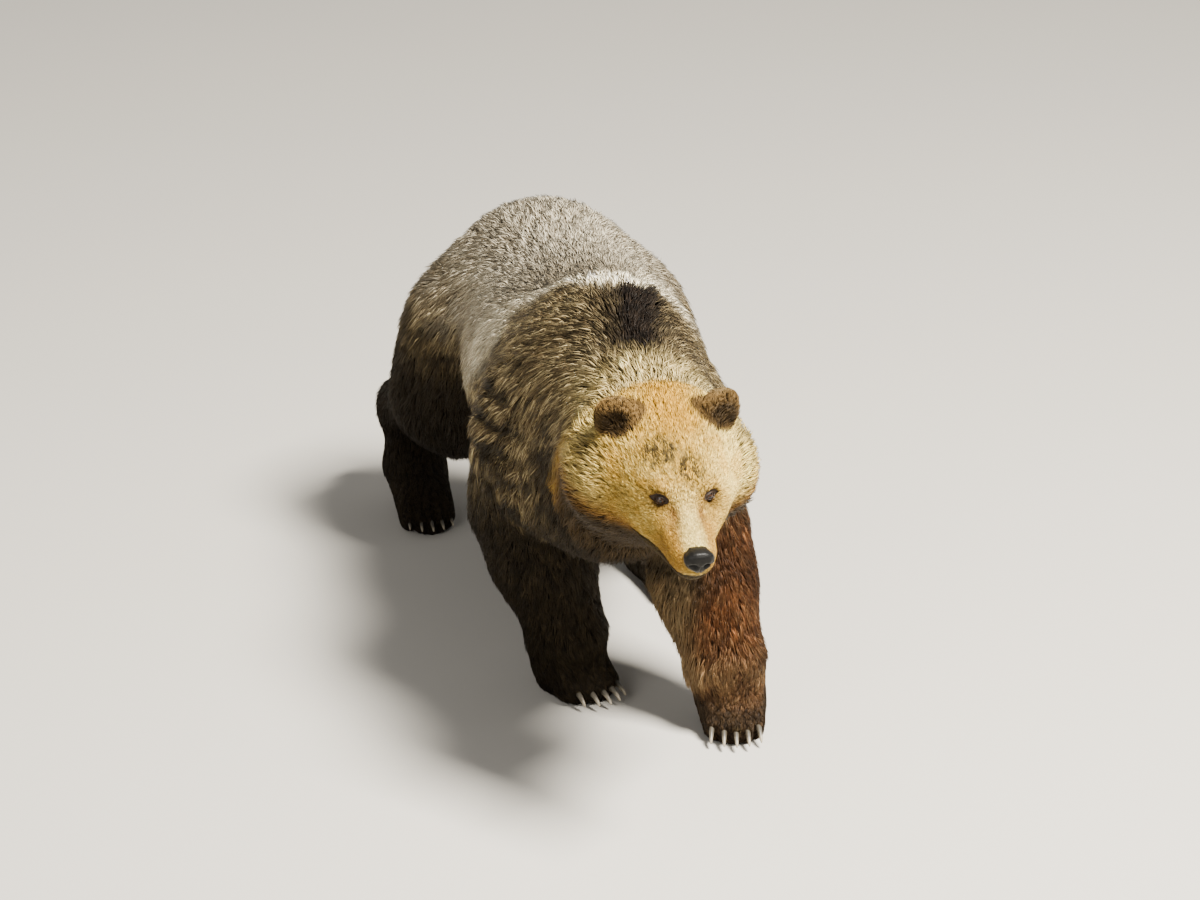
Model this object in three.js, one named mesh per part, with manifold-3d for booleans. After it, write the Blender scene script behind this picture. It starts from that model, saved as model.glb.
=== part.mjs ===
// A life-size brown bear, walking: head low, left forepaw just setting down ahead, right forepaw
// bearing weight behind it, left hind foot forward under the belly and right hind foot trailing.
// Millimetres, +Z up. The bear faces -Y and its left side is +X. Every size is out to the coat's tips.
//
// The whole body is one smooth solid, described as a distance field: rounded masses for the muscles
// and the coat over them, blended together. Each sub-part takes its own region of that field, meshed
// as finely as it needs, and neighbours are parted by thin flat cuts.
import * as THREE from "three";
import { mergeVertices } from "three/addons/utils/BufferGeometryUtils.js";
import Module from "manifold-3d";

const wasm = await Module();
wasm.setup();

// ---- Driving dimensions -------------------------------------------------------------------------

const HUMP_HEIGHT = 900; // top of the coat over the shoulders
const RUMP_HEIGHT = 785; // top of the coat over the hips
const BODY_LENGTH = 770; // from the hump back to the middle of the hips
const HEAD_WIDTH = 366; // across the cheek ruffs
const EYE_SPACING = 98; // between the middles of the eyes' openings
const EYE_RADIUS = 12.5;
const EYE_SINK = 15; // from the coat's surface in to the centre of the eye
const LID_RADIUS = 17; // the hollow in front of each eye is part of a ball of this size,
const LID_LIFT = 6; // centred this far out from the coat's surface
const NOSE_WIDTH = 58;
const EAR_WIDTH = 92;
const CLAW_LENGTH = { foreleg: 72, hindleg: 46 }; // along the curve, root included
const GAP = 0.6; // width of the thin cuts between sub-parts
const FIT = 0.5; // clearance round a piece that sits in a socket or on another

const HEAD_POSE = {
  centre: [-34, -440, 694], // middle of the braincase
  pitch: 18, // the muzzle points this far below level
  yaw: 0, // and is turned this far to the bear's left
  roll: 0, // positive lifts the right ear
};

// Joint centres of each leg, from the body down to the toes. The paw lies between heel and toe.
const LEGS = {
  foreleg_left: {
    shoulder: [78, -60, 590],
    elbow: [108, -20, 390],
    wrist: [156, -120, 140],
    heel: [174, -110, 42],
    toe: [160, -197, 27],
  },
  foreleg_right: {
    shoulder: [-186, 30, 590],
    elbow: [-184, 120, 400],
    wrist: [-108, 92, 130],
    heel: [-104, 122, 40],
    toe: [-68, 38, 27],
  },
  hindleg_left: {
    hip: [130, 740, 520],
    knee: [190, 560, 370],
    hock: [190, 690, 160],
    heel: [190, 655, 42],
    toe: [212, 455, 27],
  },
  hindleg_right: {
    hip: [-150, 800, 500],
    knee: [-220, 790, 360],
    hock: [-236, 1095, 225],
    heel: [-230, 1085, 92],
    toe: [-227, 930, 24],
  },
};

// Grid spacing used to mesh each kind of sub-part: finer where the shape is finer.
const CELL = { trunk: 76, neck: 62, head: 28, ear: 13, upper: 66, lower: 50, paw: 34, nose: 12, tail: 34 };

// ---- Vectors and distance fields ------------------------------------------------------------------

const add = (a, b) => [a[0] + b[0], a[1] + b[1], a[2] + b[2]];
const sub = (a, b) => [a[0] - b[0], a[1] - b[1], a[2] - b[2]];
const scale = (a, s) => [a[0] * s, a[1] * s, a[2] * s];
const dot = (a, b) => a[0] * b[0] + a[1] * b[1] + a[2] * b[2];
const length = (a) => Math.sqrt(dot(a, a));
const unit = (a) => scale(a, 1 / length(a));
const mix = (a, b, t) => add(scale(a, 1 - t), scale(b, t));

// A mass that tapers from radius ra round point a to radius rb round point b.
function taper(a, b, ra, rb) {
  const ba = sub(b, a);
  const l2 = dot(ba, ba);
  const rr = ra - rb;
  const a2 = l2 - rr * rr;
  return (p) => {
    const pa = sub(p, a);
    const y = dot(pa, ba);
    const z = y - l2;
    const off = sub(scale(pa, l2), scale(ba, y));
    const x2 = dot(off, off);
    const y2 = y * y * l2;
    const z2 = z * z * l2;
    const k = Math.sign(rr) * rr * rr * x2;
    if (Math.sign(z) * a2 * z2 > k) return Math.sqrt(x2 + z2) / l2 - rb;
    if (Math.sign(y) * a2 * y2 < k) return Math.sqrt(x2 + y2) / l2 - ra;
    return (Math.sqrt((x2 * a2) / l2) + y * rr) / l2 - ra;
  };
}

// An egg-shaped mass with its own half-sizes, turned by angles in degrees about X, Y and Z.
function mass(centre, radii, turn = [0, 0, 0]) {
  const angles = turn.map((d) => THREE.MathUtils.degToRad(d));
  const e = new THREE.Matrix4().makeRotationFromEuler(new THREE.Euler(...angles)).elements;
  const axes = [
    [e[0], e[1], e[2]],
    [e[4], e[5], e[6]],
    [e[8], e[9], e[10]],
  ];
  return (p) => {
    const d = sub(p, centre);
    const q = axes.map((axis) => dot(d, axis));
    const near = Math.hypot(q[0] / radii[0], q[1] / radii[1], q[2] / radii[2]);
    const slope = Math.hypot(q[0] / radii[0] ** 2, q[1] / radii[1] ** 2, q[2] / radii[2] ** 2);
    return slope < 1e-9 ? -Math.min(...radii) : (near * (near - 1)) / slope;
  };
}

// Blends fields together with a fillet of about the given size.
function blend(fillet, ...fields) {
  return (p) => {
    let d = fields[0](p);
    for (let i = 1; i < fields.length; i++) {
      const other = fields[i](p);
      const h = Math.max(fillet - Math.abs(d - other), 0) / fillet;
      d = Math.min(d, other) - (h * h * fillet) / 4;
    }
    return d;
  };
}

// Presses a dent of another field's shape into a field, with a rounded rim.
function dent(fillet, field, hollow) {
  return (p) => {
    const d = field(p);
    const inner = -hollow(p);
    const h = Math.max(fillet - Math.abs(d - inner), 0) / fillet;
    return Math.max(d, inner) + (h * h * fillet) / 4;
  };
}

const slopeAt = (field, p) =>
  [0, 1, 2].map((k) => {
    const step = [0, 0, 0];
    step[k] = 0.5;
    return field(add(p, step)) - field(sub(p, step));
  });

const bothSides = (make) => [make(1), make(-1)];

// ---- Trunk, neck and tail --------------------------------------------------------------------------

const SWAY = -62; // the shoulders hang this far over the forepaw that bears the weight

const trunkField = blend(
  70,
  mass([0.7 * SWAY, 130, 600], [192, 380, 222]), // rib cage
  mass([SWAY + 18, 0, HUMP_HEIGHT - 165], [128, 225, 165]), // hump
  mass([-8, 0.5 * BODY_LENGTH, 550], [244, 340, 205]), // belly
  mass([-16, 0.62 * BODY_LENGTH, RUMP_HEIGHT - 180], [176, 330, 168]), // loin
  mass([-16, 0.97 * BODY_LENGTH, RUMP_HEIGHT - 200], [200, 225, 198]), // rump
  mass([-22, 0.95 * BODY_LENGTH, RUMP_HEIGHT - 262], [230, 205, 180]), // hips
  mass([SWAY, -130, 520], [150, 165, 155]), // breast
  ...bothSides((s) => mass([SWAY + s * 106, 10, 590], [102, 180, 205], [0, -s * 9, 0])), // shoulder blades
);

const neckField = blend(
  60,
  taper([SWAY, -50, 675], add(HEAD_POSE.centre, [-6, 70, -6]), 190, 146),
  taper([SWAY, -110, 540], add(HEAD_POSE.centre, [-5, 50, -60]), 150, 120), // throat
);

const tailRoot = [-8, BODY_LENGTH + 168, RUMP_HEIGHT - 140];
const tailTip = [-8, BODY_LENGTH + 200, RUMP_HEIGHT - 235];
const tailField = taper(tailRoot, tailTip, 42, 28);

// ---- Head ------------------------------------------------------------------------------------------
// In the head's own frame: X to the bear's left, Y forward along the muzzle, Z up, origin in the
// middle of the braincase.

const headFrame = new THREE.Matrix4()
  .makeTranslation(...HEAD_POSE.centre)
  .multiply(new THREE.Matrix4().makeRotationZ(THREE.MathUtils.degToRad(HEAD_POSE.yaw)))
  .multiply(new THREE.Matrix4().makeRotationX(THREE.MathUtils.degToRad(HEAD_POSE.pitch)))
  .multiply(new THREE.Matrix4().makeRotationY(THREE.MathUtils.degToRad(HEAD_POSE.roll)))
  .multiply(new THREE.Matrix4().makeScale(1, -1, 1));
const headInverse = headFrame.clone().invert();
const toHead = (p) => new THREE.Vector3(...p).applyMatrix4(headInverse).toArray();
const fromHead = (p) => new THREE.Vector3(...p).applyMatrix4(headFrame).toArray();

const EYE = [EYE_SPACING / 2, 40]; // across and up; the face gives how far forward
const NOSE = [0, 287, 4];
const EAR = [91, -8, 92];
const MOUTH = [0, 105, -50]; // rear end of the mouth's line

const headShape = blend(
  34,
  mass([0, 25, 10], [120, 135, 100]), // braincase
  mass([0, 90, 36], [92, 84, 64]), // forehead
  ...bothSides((s) => mass([s * (HEAD_WIDTH / 2 - 82), -14, -42], [82, 100, 98])), // cheek ruffs
  ...bothSides((s) => mass([s * 49, 102, -20], [44, 68, 50])), // cheekbones
  taper([0, 118, -18], [0, 256, -12], 55, 38), // muzzle
  taper([0, 50, -62], [0, 240, -42], 78, 30), // lower jaw
);
const headField = (p) => headShape(toHead(p));

// The point of the face straight ahead of a place in the braincase, and the direction out of it.
function faceAt(x, z) {
  let [inside, outside] = [0, 400];
  while (outside - inside > 0.01) {
    const y = (inside + outside) / 2;
    if (headShape([x, y, z]) < 0) inside = y;
    else outside = y;
  }
  const point = [x, inside, z];
  return { point, outward: unit(slopeAt(headShape, point)) };
}

const noseShape = blend(
  8,
  mass(NOSE, [NOSE_WIDTH / 2, 18, 19]),
  mass([0, NOSE[1], NOSE[2] - 14], [0.3 * NOSE_WIDTH, 14, 14]),
);
const noseField = (p) => noseShape(toHead(p));

// Each ear is a rounded shell, cupped in front, that leans out and opens forwards and outwards.
function earField(s) {
  const lean = [10, s * 24, -s * 18];
  const shell = mass([s * EAR[0], EAR[1], EAR[2]], [0.5 * EAR_WIDTH, 23, 0.56 * EAR_WIDTH], lean);
  const cup = mass(
    [s * (EAR[0] + 6), EAR[1] + 26, EAR[2] + 10],
    [0.3 * EAR_WIDTH, 17, 0.36 * EAR_WIDTH],
    lean,
  );
  const shape = dent(6, shell, cup);
  return (p) => shape(toHead(p));
}

// ---- Legs ------------------------------------------------------------------------------------------

// The foot's own directions: ahead from heel to toe along the floor, and across to the bear's left.
function footAxes(leg) {
  const ahead = unit([leg.toe[0] - leg.heel[0], leg.toe[1] - leg.heel[1], 0]);
  return { ahead, across: [-ahead[1], ahead[0], 0] };
}

const TOES = [0, 1, 2, 3, 4];
const TOE_SPREAD = 21; // between neighbouring toes
const toeCentre = (leg, i) => {
  const { ahead, across } = footAxes(leg);
  const side = (i - 2) * TOE_SPREAD;
  return add(leg.toe, add(scale(across, side), scale(ahead, -0.011 * side * side + 6)));
};

function pawField(leg, width) {
  const { across } = footAxes(leg);
  const toes = TOES.map((i) => {
    const tip = toeCentre(leg, i);
    return taper(mix(leg.heel, tip, 0.45), tip, 30, 23);
  });
  const sides = [-1, 1].map((s) => {
    const root = add(leg.heel, scale(across, s * width));
    return taper(root, mix(add(leg.toe, scale(across, s * width * 1.4)), leg.heel, 0.3), 40, 36);
  });
  return blend(14, blend(30, ...sides, taper(leg.heel, leg.toe, 46, 34)), ...toes);
}

function forelegField(leg) {
  const midForearm = mix(leg.elbow, leg.wrist, 0.45);
  return blend(
    45,
    taper(leg.shoulder, leg.elbow, 126, 102),
    taper(leg.elbow, midForearm, 108, 98),
    taper(midForearm, leg.wrist, 98, 72),
    taper(leg.wrist, leg.heel, 70, 50),
    pawField(leg, 20),
  );
}

function hindlegField(leg) {
  const thigh = mix(leg.hip, leg.knee, 0.5);
  return blend(
    45,
    mass(thigh, [112, 190, 205]),
    taper(leg.hip, leg.knee, 150, 98),
    taper(leg.knee, leg.hock, 98, 62),
    taper(leg.hock, leg.heel, 60, 48),
    pawField(leg, 24),
  );
}

// A claw's centreline leaves the toe ahead and slightly up, and curls over and down to its tip.
const CLAW = { drop: -12, curl: 74, width: 0.8, fullness: 0.9, sides: 5, rings: 3 };

// The claw is a cone bent along that line. Clearance thickens it all over, to cut its socket.
function clawSolid(leg, i, reach, clearance) {
  const { ahead, across } = footAxes(leg);
  const root = add(toeCentre(leg, i), add(scale(ahead, 6), [0, 0, 6]));
  const radius = 0.12 * reach + clearance;
  const height = (reach * radius) / (radius - clearance) + clearance;
  const splay = scale(across, (i - 2) * 0.06);
  const forward = unit(add(ahead, splay));
  const drop = THREE.MathUtils.degToRad(CLAW.drop);
  const curl = THREE.MathUtils.degToRad(CLAW.curl) / reach;
  const cone = new THREE.ConeGeometry(radius, height, CLAW.sides, CLAW.rings);
  const at = cone.attributes.position;
  for (let k = 0; k < at.count; k++) {
    const along = at.getY(k) + height / 2 - clearance;
    const angle = drop + curl * along;
    const ahead2 = (Math.sin(angle) - Math.sin(drop)) / curl;
    const down = (Math.cos(drop) - Math.cos(angle)) / curl;
    const centre = add(root, add(scale(forward, ahead2), [0, 0, -down]));
    const upward = add(scale(forward, Math.sin(angle)), [0, 0, Math.cos(angle)]);
    const fullness = 1 + CLAW.fullness * (at.getY(k) / height + 0.5);
    const sideways = scale([forward[1], -forward[0], 0], fullness * CLAW.width * at.getX(k));
    at.setXYZ(k, ...add(centre, add(sideways, scale(upward, fullness * at.getZ(k)))));
  }
  return solidOfGeometry(cone);
}

const legFields = {
  foreleg_left: forelegField(LEGS.foreleg_left),
  foreleg_right: forelegField(LEGS.foreleg_right),
  hindleg_left: hindlegField(LEGS.hindleg_left),
  hindleg_right: hindlegField(LEGS.hindleg_right),
};

const bodyField = blend(45, trunkField, neckField, headField, ...Object.values(legFields));

// Boxes to mesh within: a cube round a point, and a box over some points that ends at a floor level.
const boxRound = (centre, reach) => [-1, 1].map((s) => centre.map((c) => c + s * reach));
const boxOver = (points, margin, floor) => {
  const along = (k) => points.map((p) => p[k]);
  const low = [0, 1, 2].map((k) => Math.min(...along(k)) - margin);
  const high = [0, 1, 2].map((k) => Math.max(...along(k)) + margin);
  return [[low[0], low[1], floor], high];
};

// ---- From a field to a mesh --------------------------------------------------------------------------

// Surface nets: one vertex in each grid cell that the surface crosses, moved onto the surface. Grid
// points on the box's border count as outside, so the mesh closes there.
function netOf(field, low, high, cell) {
  const n = [0, 1, 2].map((k) => Math.max(3, Math.round((high[k] - low[k]) / cell)) + 1);
  const step = [0, 1, 2].map((k) => (high[k] - low[k]) / (n[k] - 1));
  const at = (i, j, k) => i + n[0] * (j + n[1] * k);
  const border = (i, j, k) =>
    i === 0 || j === 0 || k === 0 || i === n[0] - 1 || j === n[1] - 1 || k === n[2] - 1;
  const values = new Float64Array(n[0] * n[1] * n[2]);
  for (let k = 0; k < n[2]; k++)
    for (let j = 0; j < n[1]; j++)
      for (let i = 0; i < n[0]; i++) {
        const d = field([low[0] + i * step[0], low[1] + j * step[1], low[2] + k * step[2]]);
        values[at(i, j, k)] = border(i, j, k) ? Math.max(d, 0.3 * cell) : d;
      }

  const positions = [];
  const vertexOf = new Int32Array(values.length).fill(-1);
  const corners = [0, 1, 2, 3, 4, 5, 6, 7].map((c) => [c & 1, (c >> 1) & 1, c >> 2]);
  const edges = [];
  corners.forEach((a, ia) =>
    corners.forEach((b, ib) => {
      const apart = Math.abs(a[0] - b[0]) + Math.abs(a[1] - b[1]) + Math.abs(a[2] - b[2]);
      if (ia < ib && apart === 1) edges.push([a, b]);
    }),
  );
  for (let k = 0; k < n[2] - 1; k++)
    for (let j = 0; j < n[1] - 1; j++)
      for (let i = 0; i < n[0] - 1; i++) {
        let sum = [0, 0, 0];
        let crossed = 0;
        for (const [a, b] of edges) {
          const va = values[at(i + a[0], j + a[1], k + a[2])];
          const vb = values[at(i + b[0], j + b[1], k + b[2])];
          if (va < 0 === vb < 0) continue;
          sum = add(sum, mix(a, b, va / (va - vb)));
          crossed++;
        }
        if (!crossed) continue;
        vertexOf[at(i, j, k)] = positions.length / 3;
        const inCell = scale(sum, 1 / crossed);
        let p = [i, j, k].map((c, axis) => low[axis] + (c + inCell[axis]) * step[axis]);
        const nearBorder = [i, j, k].some((c, axis) => c === 0 || c === n[axis] - 2);
        if (!nearBorder) p = ontoSurface(field, p, 0.45 * Math.min(...step));
        positions.push(...p);
      }

  const index = [];
  const quad = (a, b, c, d, flip) => {
    if (flip) index.push(a, c, b, a, d, c);
    else index.push(a, b, c, a, c, d);
  };
  for (let k = 0; k < n[2] - 1; k++)
    for (let j = 0; j < n[1] - 1; j++)
      for (let i = 0; i < n[0] - 1; i++) {
        const here = values[at(i, j, k)] < 0;
        const v = (di, dj, dk) => vertexOf[at(i + di, j + dj, k + dk)];
        if (j && k && here !== values[at(i + 1, j, k)] < 0)
          quad(v(0, -1, -1), v(0, 0, -1), v(0, 0, 0), v(0, -1, 0), !here);
        if (i && k && here !== values[at(i, j + 1, k)] < 0)
          quad(v(-1, 0, -1), v(-1, 0, 0), v(0, 0, 0), v(0, 0, -1), !here);
        if (i && j && here !== values[at(i, j, k + 1)] < 0)
          quad(v(-1, -1, 0), v(0, -1, 0), v(0, 0, 0), v(-1, 0, 0), !here);
      }
  return solidOf(new Float32Array(positions), new Uint32Array(index));
}

function ontoSurface(field, start, most) {
  let p = start;
  for (let turn = 0; turn < 3; turn++) {
    const slope = slopeAt(field, p);
    const steep = dot(slope, slope);
    if (steep < 1e-6) break;
    const moved = sub(p, scale(slope, field(p) / steep));
    const off = sub(moved, start);
    p = length(off) > most ? add(start, scale(unit(off), most)) : moved;
  }
  return p;
}

// ---- Solids, cuts and meshes ---------------------------------------------------------------------------

const solidOf = (vertProperties, triVerts) =>
  new wasm.Manifold(new wasm.Mesh({ numProp: 3, vertProperties, triVerts }));

function solidOfGeometry(geometry) {
  const bare = geometry.clone();
  bare.deleteAttribute("normal");
  bare.deleteAttribute("uv");
  const merged = mergeVertices(bare, 1e-3);
  return solidOf(merged.attributes.position.array, new Uint32Array(merged.index.array));
}

function geometryOf(solid) {
  const mesh = solid.getMesh();
  const positions = new Float32Array(mesh.numVert * 3);
  for (let i = 0; i < mesh.numVert; i++)
    positions.set(mesh.vertProperties.subarray(i * mesh.numProp, i * mesh.numProp + 3), i * 3);
  const geometry = new THREE.BufferGeometry()
    .setAttribute("position", new THREE.BufferAttribute(positions, 3))
    .setIndex(new THREE.BufferAttribute(new Uint32Array(mesh.triVerts), 1));
  geometry.computeVertexNormals();
  return geometry;
}

// A block with one face through the point, lying on the side that the normal points to.
const REACH = 3000;
function blockBeyond(point, normal) {
  const turn = new THREE.Quaternion().setFromUnitVectors(
    new THREE.Vector3(0, 0, 1),
    new THREE.Vector3(...unit(normal)),
  );
  const block = new THREE.BoxGeometry(REACH, REACH, REACH);
  block.translate(0, 0, REACH / 2);
  block.applyQuaternion(turn);
  block.translate(...point);
  return solidOfGeometry(block);
}

// Keeps what lies behind each plane. A plane is [point, normal]; inset moves every plane inwards.
function keepBehind(solid, planes, inset = GAP / 2) {
  return planes.reduce((left, [point, normal]) => {
    const moved = add(point, scale(unit(normal), -inset));
    return left.subtract(blockBeyond(moved, normal));
  }, solid);
}

// The convex region behind all of the planes, as a solid.
const regionOf = (planes, inset) =>
  keepBehind(blockBeyond([0, 0, -REACH / 2], [0, 0, 1]), planes, inset);

const biggest = (solid) =>
  solid.decompose().reduce((a, b) => (a.volume() > b.volume() ? a : b));

// ---- Where the body is parted ------------------------------------------------------------------------
// Each plane is [point, normal] and the sub-part lies behind it.

const headAxis = sub(fromHead([0, 1, 0]), fromHead([0, 0, 0]));
const headUp = sub(fromHead([0, 0, 1]), fromHead([0, 0, 0]));
const behindEars = fromHead([0, -84, 0]);
const neckAxis = unit([0, -0.93, -0.1]);
const neckRoot = [0, -135, 650];

const headPlanes = [[behindEars, scale(headAxis, -1)]];
const neckPlanes = [
  [behindEars, headAxis],
  [neckRoot, scale(neckAxis, -1)],
];

// The lower jaw lies below the mouth's line and ahead of its corner.
const jawPlanes = [
  [fromHead(MOUTH), add(headUp, scale(headAxis, -0.04))],
  [fromHead(MOUTH), add(scale(headAxis, -1), scale(headUp, 0.3))],
];

// A leg leaves the trunk at a plane that rises outwards from its inner edge. It lies outside a second
// plane that stands nearly upright beside the belly, and between a front and a back one that close in
// as they rise.
function legPlanes(side, inner, rise, front, back) {
  return [
    [inner, [-side * rise, 0, 1]],
    [inner, [-side, 0, 0.12]],
    [[0, front, inner[2]], [0, -1, 0.3]],
    [[0, back, inner[2]], [0, 1, 0.3]],
  ];
}

const FORE_RISE = 0.8;
const HIND_RISE = 0.62;
const legRegions = {
  foreleg_left: legPlanes(1, [40, 0, 400], FORE_RISE, -240, 175),
  foreleg_right: legPlanes(-1, [-30, 0, 400], FORE_RISE, -110, 270),
  hindleg_left: legPlanes(1, [60, 0, 380], HIND_RISE, 430, 1100),
  hindleg_right: legPlanes(-1, [-60, 0, 380], HIND_RISE, 600, 1400),
};

// ---- Sub-parts ---------------------------------------------------------------------------------------

const COLOURS = {
  head: 0xb99a62,
  neck: 0x7d6a4c,
  trunk: 0x6b5a45,
  leg: 0x4a3022,
  paw: 0x3d291d,
  ear: 0x5d4a35,
  nose: 0x15130f,
  eye: 0x1d1208,
  claw: 0xb9a88c,
  tail: 0x574835,
};
const FUR = 0.9; // roughness of the coat
const POLISH = 0.35; // roughness of the nose, the claws and the eyes

const bear = new THREE.Group();

function place(name, solid, colour, roughness = FUR) {
  const material = new THREE.MeshStandardMaterial({ color: colour, roughness, metalness: 0 });
  const mesh = new THREE.Mesh(geometryOf(biggest(solid)), material);
  mesh.name = name;
  bear.add(mesh);
}

// A copy grown about a point inside it, so that its surface moves out by FIT at the given distance.
function grown(solid, centre, distance) {
  const factor = 1 + FIT / distance;
  return solid
    .translate(scale(centre, -1))
    .scale([factor, factor, factor])
    .translate(centre);
}

// A piece less what it would share with the solid it grows from, cut just clear of that solid.
const seatedOn = (base, piece, inside, distance) =>
  biggest(piece.subtract(grown(base, inside, distance)));

const ballAt = (centre, radius) =>
  solidOfGeometry(new THREE.SphereGeometry(radius, 8, 6)).translate(centre);

const sideName = (s) => (s > 0 ? "left" : "right");

// The head, and what sits in it
const eyes = bothSides((s) => {
  const { point, outward } = faceAt(s * EYE[0], EYE[1]);
  const centre = fromHead(sub(point, scale(outward, EYE_SINK)));
  const solid = ballAt(centre, EYE_RADIUS);
  const hollow = ballAt(fromHead(add(point, scale(outward, LID_LIFT))), LID_RADIUS);
  return { name: "eye_" + sideName(s), solid, socket: grown(solid, centre, 0.9 * EYE_RADIUS).add(hollow) };
});
const skull = eyes.reduce(
  (left, eye) => left.subtract(eye.socket),
  keepBehind(netOf(bodyField, [-260, -860, 420], [260, -270, 900], CELL.head), headPlanes),
);
place("head", skull.subtract(regionOf(jawPlanes, -GAP / 2)), COLOURS.head);
place("lower_jaw", keepBehind(skull, jawPlanes), COLOURS.head);
for (const eye of eyes) place(eye.name, eye.solid, COLOURS.eye, POLISH);

const nose = netOf(noseField, ...boxRound(fromHead(NOSE), 60), CELL.nose);
const behindNose = [0, NOSE[1] - 60, NOSE[2] - 8];
place("nose", seatedOn(skull, nose, fromHead(behindNose), 45), COLOURS.nose, POLISH);
for (const s of [1, -1]) {
  const [x, y, z] = EAR;
  const ear = netOf(earField(s), ...boxRound(fromHead([s * x, y, z]), 100), CELL.ear);
  place("ear_" + sideName(s), seatedOn(skull, ear, fromHead([s * 45, y, z - 75]), 50), COLOURS.ear);
}

// The neck, the trunk and the tail, less the room that the legs take
const clearOfLegs = (solid) =>
  Object.values(legRegions).reduce((left, planes) => left.subtract(regionOf(planes, -GAP / 2)), solid);
const neck = keepBehind(netOf(bodyField, [-330, -620, 330], [330, -40, 960], CELL.neck), neckPlanes);
place("neck", clearOfLegs(neck), COLOURS.neck);

const tail = netOf(tailField, ...boxRound(mix(tailRoot, tailTip, 0.5), 120), CELL.tail);
const trunk = keepBehind(netOf(bodyField, [-400, -320, 240], [400, 1160, 1020], CELL.trunk), [
  [neckRoot, neckAxis],
]);
place("trunk", clearOfLegs(trunk), COLOURS.trunk);
place("tail", seatedOn(trunk, tail, add(tailRoot, [0, -160, 0]), 140), COLOURS.tail);

// The legs, each with its paw and five claws
const FLOOR = [[0, 0, GAP / 2], [0, 0, -1]];
for (const [name, leg] of Object.entries(LEGS)) {
  const fore = name.startsWith("foreleg");
  const [top, middle, low] = fore
    ? [leg.shoulder, leg.elbow, leg.wrist]
    : [leg.hip, leg.knee, leg.hock];
  const splitMiddle = unit(sub(low, top));
  const splitLow = unit(sub(leg.heel, middle));
  const region = legRegions[name];
  const bounds = boxOver([top, middle, low, leg.heel, leg.toe], 272, 0);

  const upper = netOf(bodyField, ...bounds, CELL.upper);
  place(
    name + (fore ? "_upper" : "_thigh"),
    keepBehind(upper, [...region, [middle, splitMiddle]]),
    COLOURS.leg,
  );
  const lower = netOf(bodyField, ...bounds, CELL.lower);
  place(
    name + (fore ? "_forearm" : "_shank"),
    keepBehind(lower, [...region, [middle, scale(splitMiddle, -1)], [low, splitLow]]),
    COLOURS.leg,
  );

  const clawReach = CLAW_LENGTH[fore ? "foreleg" : "hindleg"];
  const pawWhole = netOf(legFields[name], ...boxOver([low, leg.heel, leg.toe], 130, -70), CELL.paw);
  const sockets = TOES.map((i) => clawSolid(leg, i, clawReach, FIT));
  const paw = sockets.reduce(
    (left, socket) => left.subtract(socket),
    keepBehind(pawWhole, [[low, scale(splitLow, -1)], FLOOR]),
  );
  place(name + "_paw", paw, COLOURS.paw);
  for (const i of TOES)
    place(`${name}_claw_${i + 1}`, clawSolid(leg, i, clawReach, 0), COLOURS.claw, POLISH);
}

// The origin is on the floor, midway along and across the whole animal.
const extent = new THREE.Box3().setFromObject(bear);
const middle = extent.getCenter(new THREE.Vector3());
bear.position.set(-middle.x, -middle.y, -extent.min.z);

export default bear;
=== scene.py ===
"""A life-size brown bear, walking with its head low, in a modelled coat.

The bear faces -Y with its left side at +X, standing on the floor at Z = 0, in metres. One skin is
made from the solids of its flesh and lies inside them by the coat's depth. The coat is thousands of
thin closed locks rooted on that skin. Eyes, lids, nose and claws are pieces of their own.
"""

import math
import bmesh
import bpy
import numpy as np
from bpy.props import FloatProperty, FloatVectorProperty, IntProperty, PointerProperty
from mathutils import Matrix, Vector
from mathutils.bvhtree import BVHTree
from mathutils.kdtree import KDTree


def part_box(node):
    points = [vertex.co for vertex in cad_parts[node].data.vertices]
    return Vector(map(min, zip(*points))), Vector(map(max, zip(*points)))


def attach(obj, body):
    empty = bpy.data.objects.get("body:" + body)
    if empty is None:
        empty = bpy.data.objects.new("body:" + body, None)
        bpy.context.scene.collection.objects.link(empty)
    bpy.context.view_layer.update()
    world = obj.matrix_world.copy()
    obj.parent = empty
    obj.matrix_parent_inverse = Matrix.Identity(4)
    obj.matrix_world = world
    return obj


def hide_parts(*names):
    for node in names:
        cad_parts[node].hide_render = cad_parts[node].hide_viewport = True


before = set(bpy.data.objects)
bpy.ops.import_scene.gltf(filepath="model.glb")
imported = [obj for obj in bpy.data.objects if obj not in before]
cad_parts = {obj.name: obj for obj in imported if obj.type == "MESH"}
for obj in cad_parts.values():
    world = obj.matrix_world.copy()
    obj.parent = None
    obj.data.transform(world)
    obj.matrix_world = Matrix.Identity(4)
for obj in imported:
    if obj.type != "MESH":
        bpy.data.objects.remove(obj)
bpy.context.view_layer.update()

bl_info = {
    "name": "Walking Brown Bear",
    "version": (1, 0, 0),
    "blender": (4, 5, 0),
    "location": "View3D > Sidebar > Bear",
    "description": "Builds a life-size brown bear with a modelled coat",
    "category": "Add Mesh",
}

# ---- What the solids are -------------------------------------------------------------------------

LEGS = ("foreleg_left", "foreleg_right", "hindleg_left", "hindleg_right")
TOES = (1, 2, 3, 4, 5)
CLAWS = {leg: [f"{leg}_claw_{toe}" for toe in TOES] for leg in LEGS}
SIDES = {"left": 1.0, "right": -1.0}


def limb_nodes(fore, hind):
    """One solid of each leg, by its name on the forelegs and on the hind legs."""
    return [f"{leg}_{fore if leg.startswith('fore') else hind}" for leg in LEGS]


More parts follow.
